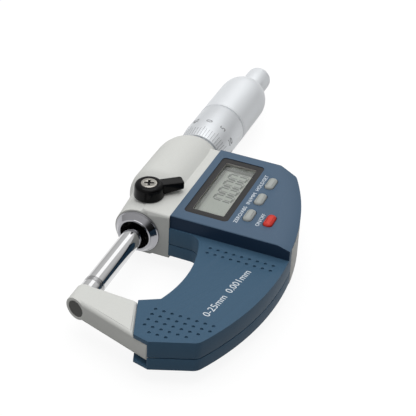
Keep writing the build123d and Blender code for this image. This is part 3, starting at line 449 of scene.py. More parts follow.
def round_edges(piece, radius, angle=30):
    """Bevels the edges of a piece that are sharper than an angle in degrees."""
    pick_up(piece)
    bpy.ops.object.modifier_add(type="BEVEL")
    rounding = piece.modifiers[-1]
    rounding.width = radius
    rounding.segments = 3
    rounding.limit_method = "ANGLE"
    rounding.angle_limit = math.radians(angle)
    rounding.use_clamp_overlap = True
    rounding.miter_outer = "MITER_ARC"
    bpy.ops.object.modifier_apply(modifier=rounding.name)


def shade(piece, angle=32):
    """Smooth shading that keeps the sharp edges."""
    pick_up(piece)
    bpy.ops.object.shade_smooth_by_angle(angle=math.radians(angle))


def settle(piece):
    """Takes a piece modelled in mm about the spindle axis to its place in the row frame."""
    pick_up(piece)
    apply_place()
    piece.scale = (MM, MM, MM)
    piece.location = ORIGIN
    apply_place()


def fit(piece, material, node, stands_for=()):
    """Gives a piece its finish and the body of its node, and hides the nodes it stands for."""
    piece.data.materials.clear()
    piece.data.materials.append(material)
    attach(piece, BODY_OF[node])
    if stands_for:
        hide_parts(*stands_for)
    return piece


def install(piece, material, node, angle=32):
    """Places, shades and fits a turned piece, which stands for its node."""
    settle(piece)
    shade(piece, angle)
    return fit(piece, material, node, [node])


def cleaned(node, name, whole=True):
    """Copy of a node as one welded mesh, with whole flat faces where they can be."""
    mesh = NODES[node].data.copy()
    piece = bpy.data.objects.new(name, mesh)
    bpy.context.scene.collection.objects.link(piece)
    pick_up(piece, editing=True)
    bpy.ops.mesh.remove_doubles(threshold=0.002 * MM)
    if whole:
        bpy.ops.mesh.dissolve_limited(angle_limit=math.radians(0.4))
    put_down()
    return piece


def finished_copy(node, name, material, edge=0.0, angle=32, whole=True):
    """Node with welded faces, rounded edges and smooth shading."""
    piece = cleaned(node, name, whole)
    if edge:
        round_edges(piece, edge)
    shade(piece, angle)
    return fit(piece, material, node, [node])


POLE = 0.0005    # radius that stands for the axis, in mm
TURNED_EDGE = 25    # least angle of a rounded edge on a turned piece, in degrees


def turned(name, profile, segments=96, edge=0.0):
    """Piece turned about the spindle axis from (x, radius) stations in mm."""
    put_down()
    profile = [(x, max(radius, POLE)) for x, radius in profile]
    x, radius = profile[0]
    bpy.ops.mesh.primitive_circle_add(
        vertices=segments, radius=radius, fill_type="NOTHING", location=(x, 0, 0),
        rotation=(0, math.pi / 2, 0))
    piece = bpy.context.object
    piece.name = name
    pick_up(piece)
    apply_place()
    pick_up(piece, editing=True)
    for next_x, next_radius in profile[1:]:
        bpy.ops.mesh.extrude_region_move(TRANSFORM_OT_translate={"value": (next_x - x, 0, 0)})
        ratio = next_radius / radius
        bpy.ops.transform.resize(value=(1, ratio, ratio), center_override=(next_x, 0, 0))
        x, radius = next_x, next_radius
    bpy.ops.mesh.select_all(action="SELECT")
    bpy.ops.mesh.remove_doubles(threshold=4 * POLE)
    face_outwards()
    if edge:
        round_edges(piece, edge, TURNED_EDGE)
    return piece


def line_plate(name, size, place):
    """Thin plate with tapered edges: size and place in mm."""
    put_down()
    bpy.ops.mesh.primitive_cube_add(size=1, location=place)
    plate = bpy.context.object
    plate.name = name
    plate.scale = size
    apply_place()
    unmark(plate)
    for face in plate.data.polygons:
        face.select = face.normal.z > 0.5
    reopen(plate)
    inset = min(size[0], size[1]) * 0.12
    bpy.ops.mesh.inset(thickness=inset, depth=0.0)
    bpy.ops.transform.translate(value=(0, 0, size[2] * 0.1))
    put_down()
    return plate


CAPITAL_HEIGHT = 0.73    # of a capital, as a share of the letters' size


def text_plate(name, body, height, width=0.0, thickness=0.06, bold=0.0):
    """Lettering as a thin plate, standing on its base line, its middle at x = 0; sizes in mm."""
    put_down()
    bpy.ops.object.text_add(location=(0, 0, 0))
    text = bpy.context.object
    text.data.body = body
    text.data.size = height / CAPITAL_HEIGHT
    text.data.extrude = thickness / 2
    text.data.offset = bold
    text.data.resolution_u = 3
    text.data.align_x = "CENTER"
    bpy.ops.object.convert(target="MESH")
    text = bpy.context.object
    text.name = name
    pick_up(text, editing=True)
    bpy.ops.mesh.remove_doubles(threshold=0.001)
    put_down()
    across = [corner.co.x for corner in text.data.vertices]
    middle = (max(across) + min(across)) / 2
    stretch = width / (max(across) - min(across)) if width else 1.0
    text.data.transform(Matrix.Diagonal((stretch, 1, 1, 1)) @ Matrix.Translation((-middle, 0, 0)))
    return text


def lay(piece, x, y, z, turn=0.0):
    """Turns a flat piece in its plane, in degrees, and lays it at a place in mm."""
    turned_by = Matrix.Rotation(math.radians(turn), 4, "Z")
    piece.data.transform(Matrix.Translation((x, y, z)) @ turned_by)
    return piece


# ------------------------------------------------------------------ stage
class MICROMETER_OT_stage(bpy.types.Operator):
    """Floor, daylight, lamps and camera"""
    bl_idname = "micrometer.stage"
    bl_label = "Stage"

    def execute(self, context):
        self.floor()
        self.daylight(context.scene)
        self.lamps()
        self.camera(context.scene)
        context.scene.view_settings.view_transform = "Standard"
        return {"FINISHED"}

    def floor(self):
        """Wide white floor that keeps the shadow, and throws little light back."""
        put_down()
        bpy.ops.mesh.primitive_plane_add(size=40.0, location=(0, 0, 0))
        floor = bpy.context.object
        floor.name = "floor"
        pick_up(floor, editing=True)
        bpy.ops.mesh.subdivide(number_cuts=4)
        put_down()
        made = bpy.data.materials.new("floor_paint")
        made.use_nodes = True
        nodes, links = made.node_tree.nodes, made.node_tree.links
        nodes.remove(nodes["Principled BSDF"])
        white = nodes.new("ShaderNodeEmission")
        white.inputs["Color"].default_value = grey(0.89)
        white.inputs["Strength"].default_value = 1.0
        shadowed = nodes.new("ShaderNodeBsdfDiffuse")
        shadowed.inputs["Color"].default_value = grey(0.14)
        shown = nodes.new("ShaderNodeAddShader")
        dim = nodes.new("ShaderNodeBsdfDiffuse")
        dim.inputs["Color"].default_value = grey(0.10)
        mix = nodes.new("ShaderNodeMixShader")
        links.new(self.to_eye(nodes, links), mix.inputs["Fac"])
        links.new(white.outputs[0], shown.inputs[0])
        links.new(shadowed.outputs[0], shown.inputs[1])
        links.new(dim.outputs[0], mix.inputs[1])
        links.new(shown.outputs[0], mix.inputs[2])
        links.new(mix.outputs[0], nodes["Material Output"].inputs["Surface"])
        floor.data.materials.append(made)

    def to_eye(self, nodes, links):
        """1 for what is seen directly, in a reflection or through glass."""
        ray = nodes.new("ShaderNodeLightPath")
        either = nodes.new("ShaderNodeMath")
        either.operation = "MAXIMUM"
        links.new(ray.outputs["Is Camera Ray"], either.inputs[0])
        links.new(ray.outputs["Is Glossy Ray"], either.inputs[1])
        all_three = nodes.new("ShaderNodeMath")
        all_three.operation = "MAXIMUM"
        links.new(either.outputs["Value"], all_three.inputs[0])
        links.new(ray.outputs["Is Transmission Ray"], all_three.inputs[1])
        return all_three.outputs["Value"]

    def daylight(self, scene):
        """Pale sky: even overhead, bright at the horizon behind, with a dark card in front."""
        world = bpy.data.worlds.new("daylight")
        scene.world = world
        world.use_nodes = True
        nodes, links = world.node_tree.nodes, world.node_tree.links
        back = nodes["Background"]
        place = nodes.new("ShaderNodeTexCoord")
        split = nodes.new("ShaderNodeSeparateXYZ")
        toward = nodes.new("ShaderNodeVectorMath")
        toward.operation = "DOT_PRODUCT"
        toward.inputs[1].default_value = (-0.31, -0.90, -0.25)
        links.new(place.outputs["Generated"], split.inputs["Vector"])
        links.new(place.outputs["Generated"], toward.inputs[0])
        card = map_range(nodes, links, toward.outputs["Value"], 0.30, 0.72, 1.0, 0.05, smooth=True)
        across = map_range(nodes, links, split.outputs["Y"], -1.0, 1.0)
        horizon = colour_ramp(nodes, links, across, (
            (0.10, grey(0.12)), (0.50, grey(0.28)), (0.85, grey(0.56))))
        height = map_range(nodes, links, split.outputs["Z"], 0.02, 0.58, smooth=True)
        mix = nodes.new("ShaderNodeMix")
        mix.data_type = "RGBA"
        mix.inputs["B"].default_value = grey(0.66)
        links.new(card, back.inputs["Strength"])
        links.new(height, mix.inputs["Factor"])
        links.new(horizon, mix.inputs["A"])
        links.new(mix.outputs["Result"], back.inputs["Color"])

    def lamps(self):
        """A broad soft lamp overhead and a soft box beyond the knob."""
        for name, place, side, power in (
                ("key", (0.12, -0.02, 1.35), 1.3, 9.6),
                ("soft_box", (0.78, 0.08, 0.64), 0.46, 0.5)):
            put_down()
            bpy.ops.object.light_add(type="AREA", location=place)
            lamp = bpy.context.object
            lamp.name = name
            lamp.visible_camera = False
            lamp.data.shape = "SQUARE"
            lamp.data.size = side
            lamp.data.energy = power
            lamp.rotation_euler = Vector(place).to_track_quat("Z", "Y").to_euler()

    def camera(self, scene):
        """Low three-quarter view from the anvil's end."""
        place = ORIGIN + Vector((-282.149, -141.632, 250.090)) * MM
        target = ORIGIN + Vector((51.611, -14.892, 0.0)) * MM
        roll = math.radians(2.98)
        put_down()
        bpy.ops.object.camera_add(location=place)
        camera = bpy.context.object
        back = (place - target).normalized()
        right = (-back).cross(Vector((0, 0, 1))).normalized()
        up = right.cross(-back)
        side = math.cos(roll) * right + math.sin(roll) * up
        head = -math.sin(roll) * right + math.cos(roll) * up
        turn = Matrix((side, head, back)).transposed()
        camera.rotation_euler = turn.to_euler()
        camera.data.sensor_width = 36.0
        camera.data.lens = 118.86
        camera.data.clip_start = 0.01
        scene.camera = camera


# ------------------------------------------------------------------ frame and covers
COLLAR_SKIRT = 2.5      # part of the collar that sits inside the nose, in mm
NOSE_R = 8.6            # front edge of the nose
RIM_MARGIN = 0.45       # enamel left beyond the collar's rim
PLATE_LEVEL = 4.15      # just over the lower plate, in mm above the spindle axis
BOX_LEVEL = 6.5         # on the display box's wall
GROOVE_REACH = 0.42     # from the parting plane to the groove's faces


class MICROMETER_OT_frame(bpy.types.Operator):
    """Enamelled casting: arm, bow, nose and barrel"""
    bl_idname = "micrometer.frame"
    bl_label = "Frame"

    def execute(self, context):
        casting = cleaned("frame", "frame_casting")
        self.taper_nose(casting)
        round_edges(casting, sizes().casting_edge)
        shade(casting)
        fit(casting, grey_enamel(), "frame", ["frame"])
        return {"FINISHED"}

    def taper_nose(self, casting):
        """Draws the round front edge of the nose in towards the collar's rim."""
        face = from_face("nose_collar", 1) - COLLAR_SKIRT
        rim_r = radius_of("nose_collar") + RIM_MARGIN
        for corner in casting.data.vertices:
            x, y, z = (corner.co - ORIGIN) / MM
            if abs(x - face) < 0.05 and abs(math.hypot(y, z) - NOSE_R) < 0.08:
                share = min(1, max(0, (y + 6) / 3)) * min(1, max(0, (z + 7.2) / 3))
                drawn = 1 - share * (1 - rim_r / NOSE_R)
                corner.co = ORIGIN + Vector((x, y * drawn, z * drawn)) * MM


class MICROMETER_OT_covers(bpy.types.Operator):
    """Blue mouldings: front cover, back cover and battery lid"""
    bl_idname = "micrometer.covers"
    bl_label = "Covers"

    def execute(self, context):
        edge = sizes().moulding_edge
        front = finished_copy("front_cover", "front_moulding", blue_moulding(), edge)
        front.data.materials.append(box_top_painted_sheen())
        front.data.materials.append(box_side_painted_shade())
        plate, step = ORIGIN.z + PLATE_LEVEL * MM, ORIGIN.z + BOX_LEVEL * MM
        for face in front.data.polygons:
            # the upward faces of the display box get the smoother moulding with its painted sheen
            if face.center.z > step and face.normal.z > 0.3:
                face.material_index = 1
            # the step face below the box gets the painted shade
            elif face.center.z > plate and face.normal.x < -0.7:
                face.material_index = 2
        back = finished_copy("back_cover", "back_moulding", blue_moulding(), edge)
        self.paint_groove_shade(front)
        self.paint_groove_shade(back)
        finished_copy("battery_cover", "battery_lid", blue_moulding(), edge)
        return {"FINISHED"}

    def paint_groove_shade(self, cover):
        """Painted shade on the faces of the groove along the parting line."""
        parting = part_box("front_cover")[0].z
        # near-black painted shade stands in for the shadow inside the groove
        cover.data.materials.append(dull("groove", (13, 17, 22), 0.7))
        for face in cover.data.polygons:
            if abs(face.center.z - parting) < GROOVE_REACH * MM:
                face.material_index = len(cover.data.materials) - 1


# ------------------------------------------------------------------ measuring faces and nose
ANVIL_BACK = 8          # depth beyond which the anvil's end face is dark, in mm
RECESS_R = 1.6          # reach of the cross in the lock screw's head
HUB_REACH = 5.4         # lever beyond this counts as its arm
ARM_RISE = 1.1          # how far the arm's underside is raised


class MICROMETER_OT_spindle(bpy.types.Operator):
    """Spindle, anvil and their carbide faces"""
    bl_idname = "micrometer.spindle"
    bl_label = "Spindle and Anvil"

    def execute(self, context):
        finished_copy("spindle", "spindle_shaft", ground_steel(), 0.0)
        shank = finished_copy("anvil", "anvil_shank", ground_steel(), 0.0)
        shank.data.materials.append(dark_steel())
        for face in shank.data.polygons:
            if face.center.x < ORIGIN.x - ANVIL_BACK * MM and face.normal.x < -0.5:
                face.material_index = 1
        edge = sizes().metal_edge / MM * 0.6
        for node in ("spindle_tip", "anvil_tip"):
            start, end, radius = from_face(node, 0), from_face(node, 1), radius_of(node)
            disc = turned(node + "_disc", [
                (start, 0), (start, radius), (end, radius), (end, 0)], edge=edge)
            install(disc, carbide(), node)
        return {"FINISHED"}


class MICROMETER_OT_nose(bpy.types.Operator):
    """Chrome collar, wiper ring and guide bush"""
    bl_idname = "micrometer.nose"
    bl_label = "Nose"

    def execute(self, context):
        self.collar()
        finished_copy("wiper_ring", "felt_wiper", dull("felt", (58, 56, 53), 0.9))
        finished_copy("spindle_bush", "guide_bush", dull("bronze", (170, 130, 80), 0.35, 1.0))
        return {"FINISHED"}

    def collar(self):
        """Rim against the nose, hollow cone and a bright front ring."""
        front, skirt_end = from_face("nose_collar", 0), from_face("nose_collar", 1)
        rim_r = radius_of("nose_collar")
        back = skirt_end - COLLAR_SKIRT
        hole, front_r, skirt_r = 4.7, 5.6, 5.18
        ring = turned("chrome_collar", [
            (skirt_end, hole), (skirt_end, skirt_r), (back, skirt_r), (back, rim_r),
            (back - 0.55, rim_r), (back - 0.70, rim_r - 0.35), (front + 0.35, front_r + 0.15),
            (front + 0.2, front_r), (front, front_r - 0.05), (front, hole + 0.3),
            (front + 0.2, hole + 0.1), (front + 0.4, hole), (skirt_end, hole)],
            segments=128, edge=0.03)
        install(ring, chrome(), "nose_collar")


class MICROMETER_OT_lock(bpy.types.Operator):
    """Spindle lock: lever, stem, cross-head screw and pin"""
    bl_idname = "micrometer.lock"
    bl_label = "Spindle Lock"

    def execute(self, context):
        handle = cleaned("lock_lever", "lock_handle")
        self.raise_underside(handle)
        round_edges(handle, sizes().moulding_edge)
        shade(handle)
        fit(handle, black_plastic(), "lock_lever", ["lock_lever"])
        finished_copy("lock_stem", "lock_stud", black_steel())
        zinc = dull("zinc", (176, 173, 166), 0.24, 1.0)
        screw = finished_copy("lock_screw", "cross_screw", zinc, 0.05 * MM)
        # painted shade: the faces inside the cross recess are near-black for the shadow that falls
        # in it
        screw.data.materials.append(dull("recess_painted_shade", (14, 13, 12), 0.6))
        low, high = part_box("lock_screw")
        middle = (low + high) / 2
        for face in screw.data.polygons:
            reach = math.hypot(face.center.x - middle.x, face.center.y - middle.y)
            depth = high.z - face.center.z
            if reach < RECESS_R * MM and 0.08 * MM < depth < 1.0 * MM:
                face.material_index = 1
        finished_copy("lock_pin", "brass_pin", brass())
        return {"FINISHED"}

    def raise_underside(self, handle):
        """Raises the arm's underside, and leaves the hub as it is."""
        low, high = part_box("lock_screw")
        hub = (low + high) / 2
        arm = [corner for corner in handle.data.vertices
               if math.hypot(corner.co.x - hub.x, corner.co.y - hub.y) > HUB_REACH * MM]
        bottom = min(corner.co.z for corner in arm)
        for corner in arm:
            if corner.co.z < bottom + 0.5 * MM:
                corner.co.z += ARM_RISE * MM


# ------------------------------------------------------------------ thimble and sleeve
DIVISIONS = 50          # lines round the thimble
SLEEVE_R = 6.2
SCALE_WIDTH = 0.13      # width of a line on the sleeve, in mm
PITCH = 0.5             # travel of one turn, in mm


class MICROMETER_OT_thimble(bpy.types.Operator):
    """Thimble with its graduated bevel and numerals"""
    bl_idname = "micrometer.thimble"
    bl_label = "Thimble"

    def execute(self, context):
        front = from_face("thimble", 0)
        radius = radius_of("thimble")
        bevel_end, front_r = front + 6.5, 7.7
        bore = 6.5
        grip = from_face("rear_sleeve", 0)
        seat_end = from_face("thimble", 1)
        hub_x, hub_r, socket_r = seat_end - 3.7, 3.27, 6.2
        drum = turned("thimble_drum", [
            (front, bore), (front, front_r), (bevel_end, radius), (grip - 0.35, radius),
            (grip - 0.35, radius - 0.35), (grip, radius - 0.35), (grip, 7.9),
            (seat_end, 7.9), (seat_end, socket_r), (hub_x, socket_r), (hub_x, hub_r - 0.4),
            (hub_x - 5.0, hub_r), (hub_x - 5.0, bore), (front, bore)],
            segments=128, edge=sizes().metal_edge / MM)
        install(drum, satin_chrome(), "thimble")
        self.graduations(front, front_r, bevel_end, radius)
        return {"FINISHED"}

    def graduations(self, front, front_r, bevel_end, radius):
        """Fifty lines on the bevel, every fifth one longer and numbered."""
        lean = math.atan2(radius - front_r, bevel_end - front)
        width = sizes().graduation_width / MM
        marks, numerals = [], []
        for fifth in (False, True):
            reach = (sizes().long_graduation if fifth else sizes().graduation_length) / MM
            start = 0.25
            plate = line_plate("line", (reach, width, 0.05), (start + reach / 2, 0, -0.01))
            plate.data.transform(
                Matrix.Translation((front, 0, front_r)) @ Matrix.Rotation(-lean, 4, "Y"))
            for count in range(DIVISIONS):
                if (count % 5 == 0) is fifth:
                    marks.append(another(plate, turn=math.radians(count * 360 / DIVISIONS)))
            bpy.data.objects.remove(plate)
        for count in range(10):
            digits = text_plate("numeral", str(count * 5), sizes().numeral_height / MM, bold=0.02)
            digits.data.transform(
                Matrix.Translation((bevel_end + 2.4, 0, radius - 0.005))
                @ Matrix.Translation((0, -sizes().numeral_height / MM / 2, 0)))
            numerals.append(another(digits, turn=math.radians(count * 36)))
            bpy.data.objects.remove(digits)
        for pieces, name, material in (
                (marks, "thimble_graduations", engraving()),
                (numerals, "thimble_numerals", dull("numerals", (140, 142, 145), 0.6))):
            lines = join(pieces, name)
            settle(lines)
            fit(lines, material, "thimble")


class MICROMETER_OT_sleeve(bpy.types.Operator):
    """Fixed sleeve with its millimetre scale, and the adjusting nut"""
    bl_idname = "micrometer.sleeve"
    bl_label = "Sleeve"

    def execute(self, context):
        finished_copy("sleeve", "scale_sleeve", satin_chrome())
        finished_copy("adjusting_nut", "split_nut_ring", brass())
        self.scale()
        return {"FINISHED"}

    def scale(self):
        """Datum line with half-millimetre lines below it and millimetre lines above."""
        closed = from_face("thimble", 0)
        marks = [line_plate(
            "datum", (26.0, SCALE_WIDTH, 0.05), (closed + 12.6, 0, SLEEVE_R - 0.01))]
        for step in range(51):
            reach = (1.9 if step % 10 == 0 else 1.2) if step % 2 == 0 else 1.0
            side = 1 if step % 2 == 0 else -1
            middle = side * (reach / 2 + 0.05) / SLEEVE_R
            mark = line_plate(
                "mark", (SCALE_WIDTH, reach, 0.05), (closed + PITCH * step, 0, SLEEVE_R - 0.012))
            marks.append(another(mark, turn=middle))
            bpy.data.objects.remove(mark)
        for count in range(6):
            digits = text_plate("numeral", str(count * 5), sizes().scale_numeral / MM, bold=0.02)
            digits.data.transform(Matrix.Translation((closed + 5 * count, 0, SLEEVE_R - 0.02)))
            marks.append(another(digits, turn=2.3 / SLEEVE_R))
            bpy.data.objects.remove(digits)
        lines = join(marks, "sleeve_scale")
        settle(lines)
        fit(lines, engraving(), "sleeve")


KNURL_DEPTH = 0.09      # in mm


class MICROMETER_OT_ratchet(bpy.types.Operator):
    """Grip sleeve, ratchet, knob and cap"""
    bl_idname = "micrometer.ratchet"
    bl_label = "Ratchet Stop"

    def execute(self, context):
        self.grip()
        self.knob()
        finished_copy("ratchet_disc", "ratchet_wheel", spring_steel())
        finished_copy("ratchet_driver", "driver_wheel", spring_steel())
        finished_copy("ratchet_spring", "ratchet_coil", spring_steel(), angle=60)
        finished_copy("ratchet_screw", "shoulder_screw", black_steel())
        return {"FINISHED"}

    def grip(self):
        """Knurled barrel with a rounded shoulder."""
        front, end = from_face("rear_sleeve", 0), from_face("rear_sleeve", 1)
        radius = radius_of("rear_sleeve")
        shoulder, end_r, hole = end - 9.2, 5.2, 3.65
        outside = [(front, radius - 0.3), (front + 0.25, radius), (front + 0.85, radius),
                   (front + 0.95, radius - 0.12)]
        rows, columns = 56, 176
        start = front + 1.05
        pitch = (shoulder - start) / rows
        outside += [(start + row * pitch, radius - 0.01) for row in range(rows + 1)]
        steps = 12
        for step in range(1, steps + 1):
            share = step / steps
            x = shoulder + (end - shoulder) * share
            outside.append((x, radius - 0.02 - (radius - 0.02 - end_r) * share ** 2.9))
        inside = [(end, hole), (end - 3.0, hole), (end - 3.0, 6.2), (shoulder, 6.2),
                  (shoulder, 7.92), (front, 7.92), (front, radius - 0.3)]
        piece = turned("grip_sleeve", outside + inside, segments=columns)
        self.knurl(piece, start + pitch / 2, shoulder - pitch / 2, radius - 0.1, pitch, columns)
        install(piece, frosted_chrome(), "rear_sleeve", 35)

    def knurl(self, piece, start, end, radius, pitch, segments):
        """Presses every other point of the outer rows in, like a fine diamond knurl."""
        put_down()
        for corner in piece.data.vertices:
            x, y, z = corner.co
            if not start < x < end or math.hypot(y, z) < radius:
                corner.select = False
                continue
            row = round((x - start + pitch / 2) / pitch)
            column = round(math.atan2(z, y) / math.tau * segments)
            corner.select = (row + column) % 2 == 0
        reopen(piece)
        bpy.ops.transform.shrink_fatten(value=-KNURL_DEPTH)
        put_down()

    def knob(self):
        """Plain knob with a hollow stem, and its domed cap."""
        start, end = from_face("ratchet_knob", 0), from_face("ratchet_knob", 1)
        front = from_face("rear_sleeve", 1) + 0.3
        radius = radius_of("ratchet_knob")
        stem, bore, pocket = 3.5, 1.3, 2.75
        piece = turned("knob_body", [
            (start, bore), (start, stem), (front, stem), (front, radius), (end, radius),
            (end, pocket), (end - 3.5, pocket), (end - 3.5, bore), (start, bore)],
            edge=0.18)
        install(piece, frosted_chrome(), "ratchet_knob")
        reach = from_face("knob_cap", 1) - end
        profile = [
            (end - 1.4, 0), (end - 1.4, pocket - 0.02), (end + 0.01, pocket - 0.02),
            (end + 0.01, radius - 0.12), (end + 0.12, radius - 0.02)]
        steps = 12
        for step in range(1, steps + 1):
            turn = math.pi / 2 * step / steps
            profile.append((end + 0.12 + (reach - 0.12) * math.sin(turn),
                            (radius - 0.02) * math.cos(turn) ** 0.75))
        cap = turned("knob_end", profile)
        install(cap, frosted_chrome(), "knob_cap", 40)


# ------------------------------------------------------------------ display
BAR_THICKNESS = 0.012   # of a digit's bars, in mm


class MICROMETER_OT_display(bpy.types.Operator):
    """Surround, pane, liquid crystal panel and its digits"""
    bl_idname = "micrometer.display"
    bl_label = "Display"

    def execute(self, context):
        bezel = finished_copy("display_surround", "display_bezel", display_surround(), 0.1 * MM,
                              whole=False)
        # painted light: the inner walls of the opening are coloured pale to offset the shade they
        # lie in
        bezel.data.materials.append(dull("surround_wall_painted_light", (176, 174, 168)))
        for face in bezel.data.polygons:
            if abs(face.normal.z) < 0.4:
                face.material_index = 1
        pane = finished_copy("display_window", "display_pane", clear_pane())
        panel = finished_copy("lcd_panel", "display_panel", panel_grey_painted_shade())
        self.stretch(pane, 0, level_of("display_window", 1) - 0.06)
        self.stretch(panel, 1, self.panel_top())
        finished_copy("lcd_holder", "panel_holder", dull("white_plastic", (224, 224, 220), 0.5))
        finished_copy("contact_strip", "contact_rubber", dull("strip_rubber", (120, 130, 140), 0.7))
        self.reading()
        return {"FINISHED"}

    def panel_top(self):
        """Level of the panel's face, close under the pane."""
        return level_of("display_window", 1) - 0.08

    def stretch(self, piece, side, level):
        """Moves the underside (0) or the top (1) of a flat piece to a level in mm."""
        heights = [corner.co.z for corner in piece.data.vertices]
        middle = (min(heights) + max(heights)) / 2
        for corner in piece.data.vertices:
            if (corner.co.z > middle) == bool(side):
                corner.co.z = ORIGIN.z + level * MM

    def bar(self, reach):
        """One bar of a digit, pointed at both ends, lying along X."""
        width = sizes().segment_width / MM
        put_down()
        bpy.ops.mesh.primitive_circle_add(vertices=6, radius=reach / 2, fill_type="NGON")
        piece = bpy.context.object
        put_down()
        for corner in piece.data.vertices:
            if abs(corner.co.x) < reach / 2 - 0.01:
                corner.co.x = math.copysign(reach / 2 - width / 2, corner.co.x)
                corner.co.y = math.copysign(width / 2, corner.co.y)
        pick_up(piece, editing=True)
        bpy.ops.mesh.extrude_region_move(TRANSFORM_OT_translate={"value": (0, 0, BAR_THICKNESS)})
        face_outwards()
        return piece

    def zero(self):
        """Digit 0 from six bars, leaning, its foot on the base line."""
        high = sizes().digit_height / MM
        wide = sizes().digit_width / MM
        half = high / 2
        level = self.bar(wide - 0.12)
        upright = self.bar(half - 0.12)
        upright.data.transform(Matrix.Rotation(math.pi / 2, 4, "Z"))
        bars = [another(level, (wide / 2, 0, 0)), another(level, (wide / 2, high, 0))]
        for x in (0, wide):
            for y in (half / 2, half * 1.5):
                bars.append(another(upright, (x, y, 0)))
        bpy.data.objects.remove(level)
        bpy.data.objects.remove(upright)
        digit = join(bars, "digit")
        lean = Matrix.Identity(4)
        lean[0][1] = math.tan(math.radians(4))
        digit.data.transform(lean)
        return digit

    def reading(self):
        """0.000 in the middle of the panel, with its faint shadow below it."""
        top = self.panel_top()
        first_x, base_y, pitch = 46.3, -24.1, 4.1
        for name, tone, shift, rise in (
                ("display_shadow", srgb(132, 136, 131), (0.8, -0.35), 0.004),
                ("display_digits", colours().digits, (0, 0), 0.014)):
            digit = self.zero()
            x, y, z = first_x + shift[0], base_y + shift[1], top + rise - BAR_THICKNESS
            marks = [another(digit, (x + place * pitch, y, z)) for place in range(4)]
            bpy.data.objects.remove(digit)
            dot = self.bar(0.6)
            marks.append(another(dot, (x + pitch - 0.75, y, z)))
            bpy.data.objects.remove(dot)
            piece = join(marks, name)
            settle(piece)
            fit(piece, finish(name, tone, 0.5), "lcd_panel")


# ------------------------------------------------------------------ buttons and lettering
class MICROMETER_OT_buttons(bpy.types.Operator):
    """Four domed buttons"""
    bl_idname = "micrometer.buttons"
    bl_label = "Buttons"

    def execute(self, context):
        grey = button_rubber("button_grey", colours().button_grey)
        red = button_rubber("button_red", colours().button_red)
        for node in ("zero_button", "unit_button", "hold_button", "power_button"):
            piece = cleaned(node, node.replace("_button", "_key"))
            self.crown(piece)
            shade(piece, 50)
            fit(piece, red if node == "power_button" else grey, node, [node])
        return {"FINISHED"}

    def crown(self, piece):
        """Sinks the rim of a button's top, so that its middle stands up as a low dome."""
        top = max(corner.co.z for corner in piece.data.vertices)
        unmark(piece)
        for face in piece.data.polygons:
            face.select = face.center.z > top - 0.01 * MM
        reopen(piece)
        for ring in range(3):
            bpy.ops.mesh.inset(thickness=0.2 * MM, depth=0.0)
        put_down()
        low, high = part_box(piece.name.replace("_key", "_button"))
        middle = (low + high) / 2
        half_x, half_y = 3.05 * MM, 1.45 * MM
        for corner in piece.data.vertices:
            if corner.co.z > top - 0.66 * MM:
                along, across = (corner.co.x - middle.x) / half_x, (corner.co.y - middle.y) / half_y
                corner.co.z -= 0.25 * MM * min(along ** 2 + across ** 2, 1.0)


class MICROMETER_OT_lettering(bpy.types.Operator):
    """Printed lettering: button names and the measuring range"""
    bl_idname = "micrometer.lettering"
    bl_label = "Lettering"

    def execute(self, context):
        high = sizes().label_height / MM
        top = level_of("front_cover", 1)
        words = []
        for node, body, wide in (
                ("zero_button", "ZERO/ABS", 9.3), ("unit_button", "IN/MM", 6.6),
                ("hold_button", "HOLD/SET", 9.3), ("power_button", "ON/OFF", 6.8)):
            low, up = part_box(node)
            x = ((low.x + up.x) / 2 - ORIGIN.x) / MM
            y = (up.y - ORIGIN.y) / MM
            word = text_plate("word", body, high, wide, thickness=0.04)
            words.append(lay(word, x - 0.6, y + 0.15, top))
        labels = join(words, "button_names")
        settle(labels)
        fit(labels, lettering(), "front_cover")
        span = text_plate("range_marking", "0-25mm  0.001mm", sizes().range_height / MM, 24.6,
                          thickness=0.04)
        lay(span, 9.2, -39.25, 4.1, -8.2)
        settle(span)
        fit(span, lettering(), "front_cover")
        return {"FINISHED"}


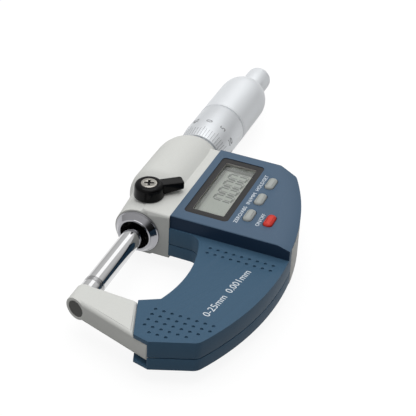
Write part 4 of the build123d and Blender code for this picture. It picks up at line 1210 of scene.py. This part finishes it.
# ------------------------------------------------------------------ works inside
class MICROMETER_OT_works(bpy.types.Operator):
    """Encoder, boards, battery and screws"""
    bl_idname = "micrometer.works"
    bl_label = "Works Inside"

    def execute(self, context):
        board = dull("board_green", (28, 82, 52), 0.45)
        inside = {
            "encoder_stator": ("encoder_plate", board),
            "encoder_rotor": ("encoder_wheel", dull("rotor_plastic", (222, 220, 210))),
            "rotor_key": ("drive_key", spring_steel()),
            "rotor_retainer": ("retaining_ring", brass()),
            "flex_circuit": ("flexible_lead", dull("flex_amber", (170, 100, 30), 0.3)),
            "main_board": ("circuit_board", board),
            "key_mat": ("dome_mat", dull("mat_rubber", (205, 205, 200), 0.6)),
            "battery": ("button_cell", dull("cell_steel", (200, 200, 196), 0.28, 1.0)),
            "battery_spring": ("cell_spring", brass()),
            "lid_contact": ("cell_contact", brass()),
            "cover_screws": ("back_screws", black_steel()),
            "board_screws": ("tray_screws", black_steel()),
        }
        for node, (name, material) in inside.items():
            finished_copy(node, name, material)
        return {"FINISHED"}


# ------------------------------------------------------------------ panel and run
OPERATORS = (
    MICROMETER_OT_frame, MICROMETER_OT_covers, MICROMETER_OT_spindle, MICROMETER_OT_nose,
    MICROMETER_OT_lock, MICROMETER_OT_thimble, MICROMETER_OT_sleeve, MICROMETER_OT_ratchet,
    MICROMETER_OT_display, MICROMETER_OT_buttons, MICROMETER_OT_lettering, MICROMETER_OT_works,
    MICROMETER_OT_stage,
)


class MICROMETER_PT_panel(bpy.types.Panel):
    """Lists the pieces of the micrometer with their sizes and colours"""
    bl_idname = "MICROMETER_PT_panel"
    bl_label = "Outside Micrometer"
    bl_space_type = "VIEW_3D"
    bl_region_type = "UI"
    bl_category = "Micrometer"

    def draw(self, context):
        layout = self.layout
        for operator in OPERATORS:
            layout.operator(operator.bl_idname)
        for group in (context.scene.micrometer_sizes, context.scene.micrometer_colours):
            box = layout.box()
            for name in group.__annotations__:
                box.prop(group, name)


CLASSES = (MicrometerSizes, MicrometerColours, *OPERATORS, MICROMETER_PT_panel)


def register():
    for kind in CLASSES:
        bpy.utils.register_class(kind)
    bpy.types.Scene.micrometer_sizes = bpy.props.PointerProperty(type=MicrometerSizes)
    bpy.types.Scene.micrometer_colours = bpy.props.PointerProperty(type=MicrometerColours)


def unregister():
    del bpy.types.Scene.micrometer_colours
    del bpy.types.Scene.micrometer_sizes
    for kind in reversed(CLASSES):
        bpy.utils.unregister_class(kind)


def main():
    register()
    for operator in OPERATORS:
        getattr(bpy.ops.micrometer, operator.bl_idname.split(".")[1])()


if __name__ == "__main__":
    main()
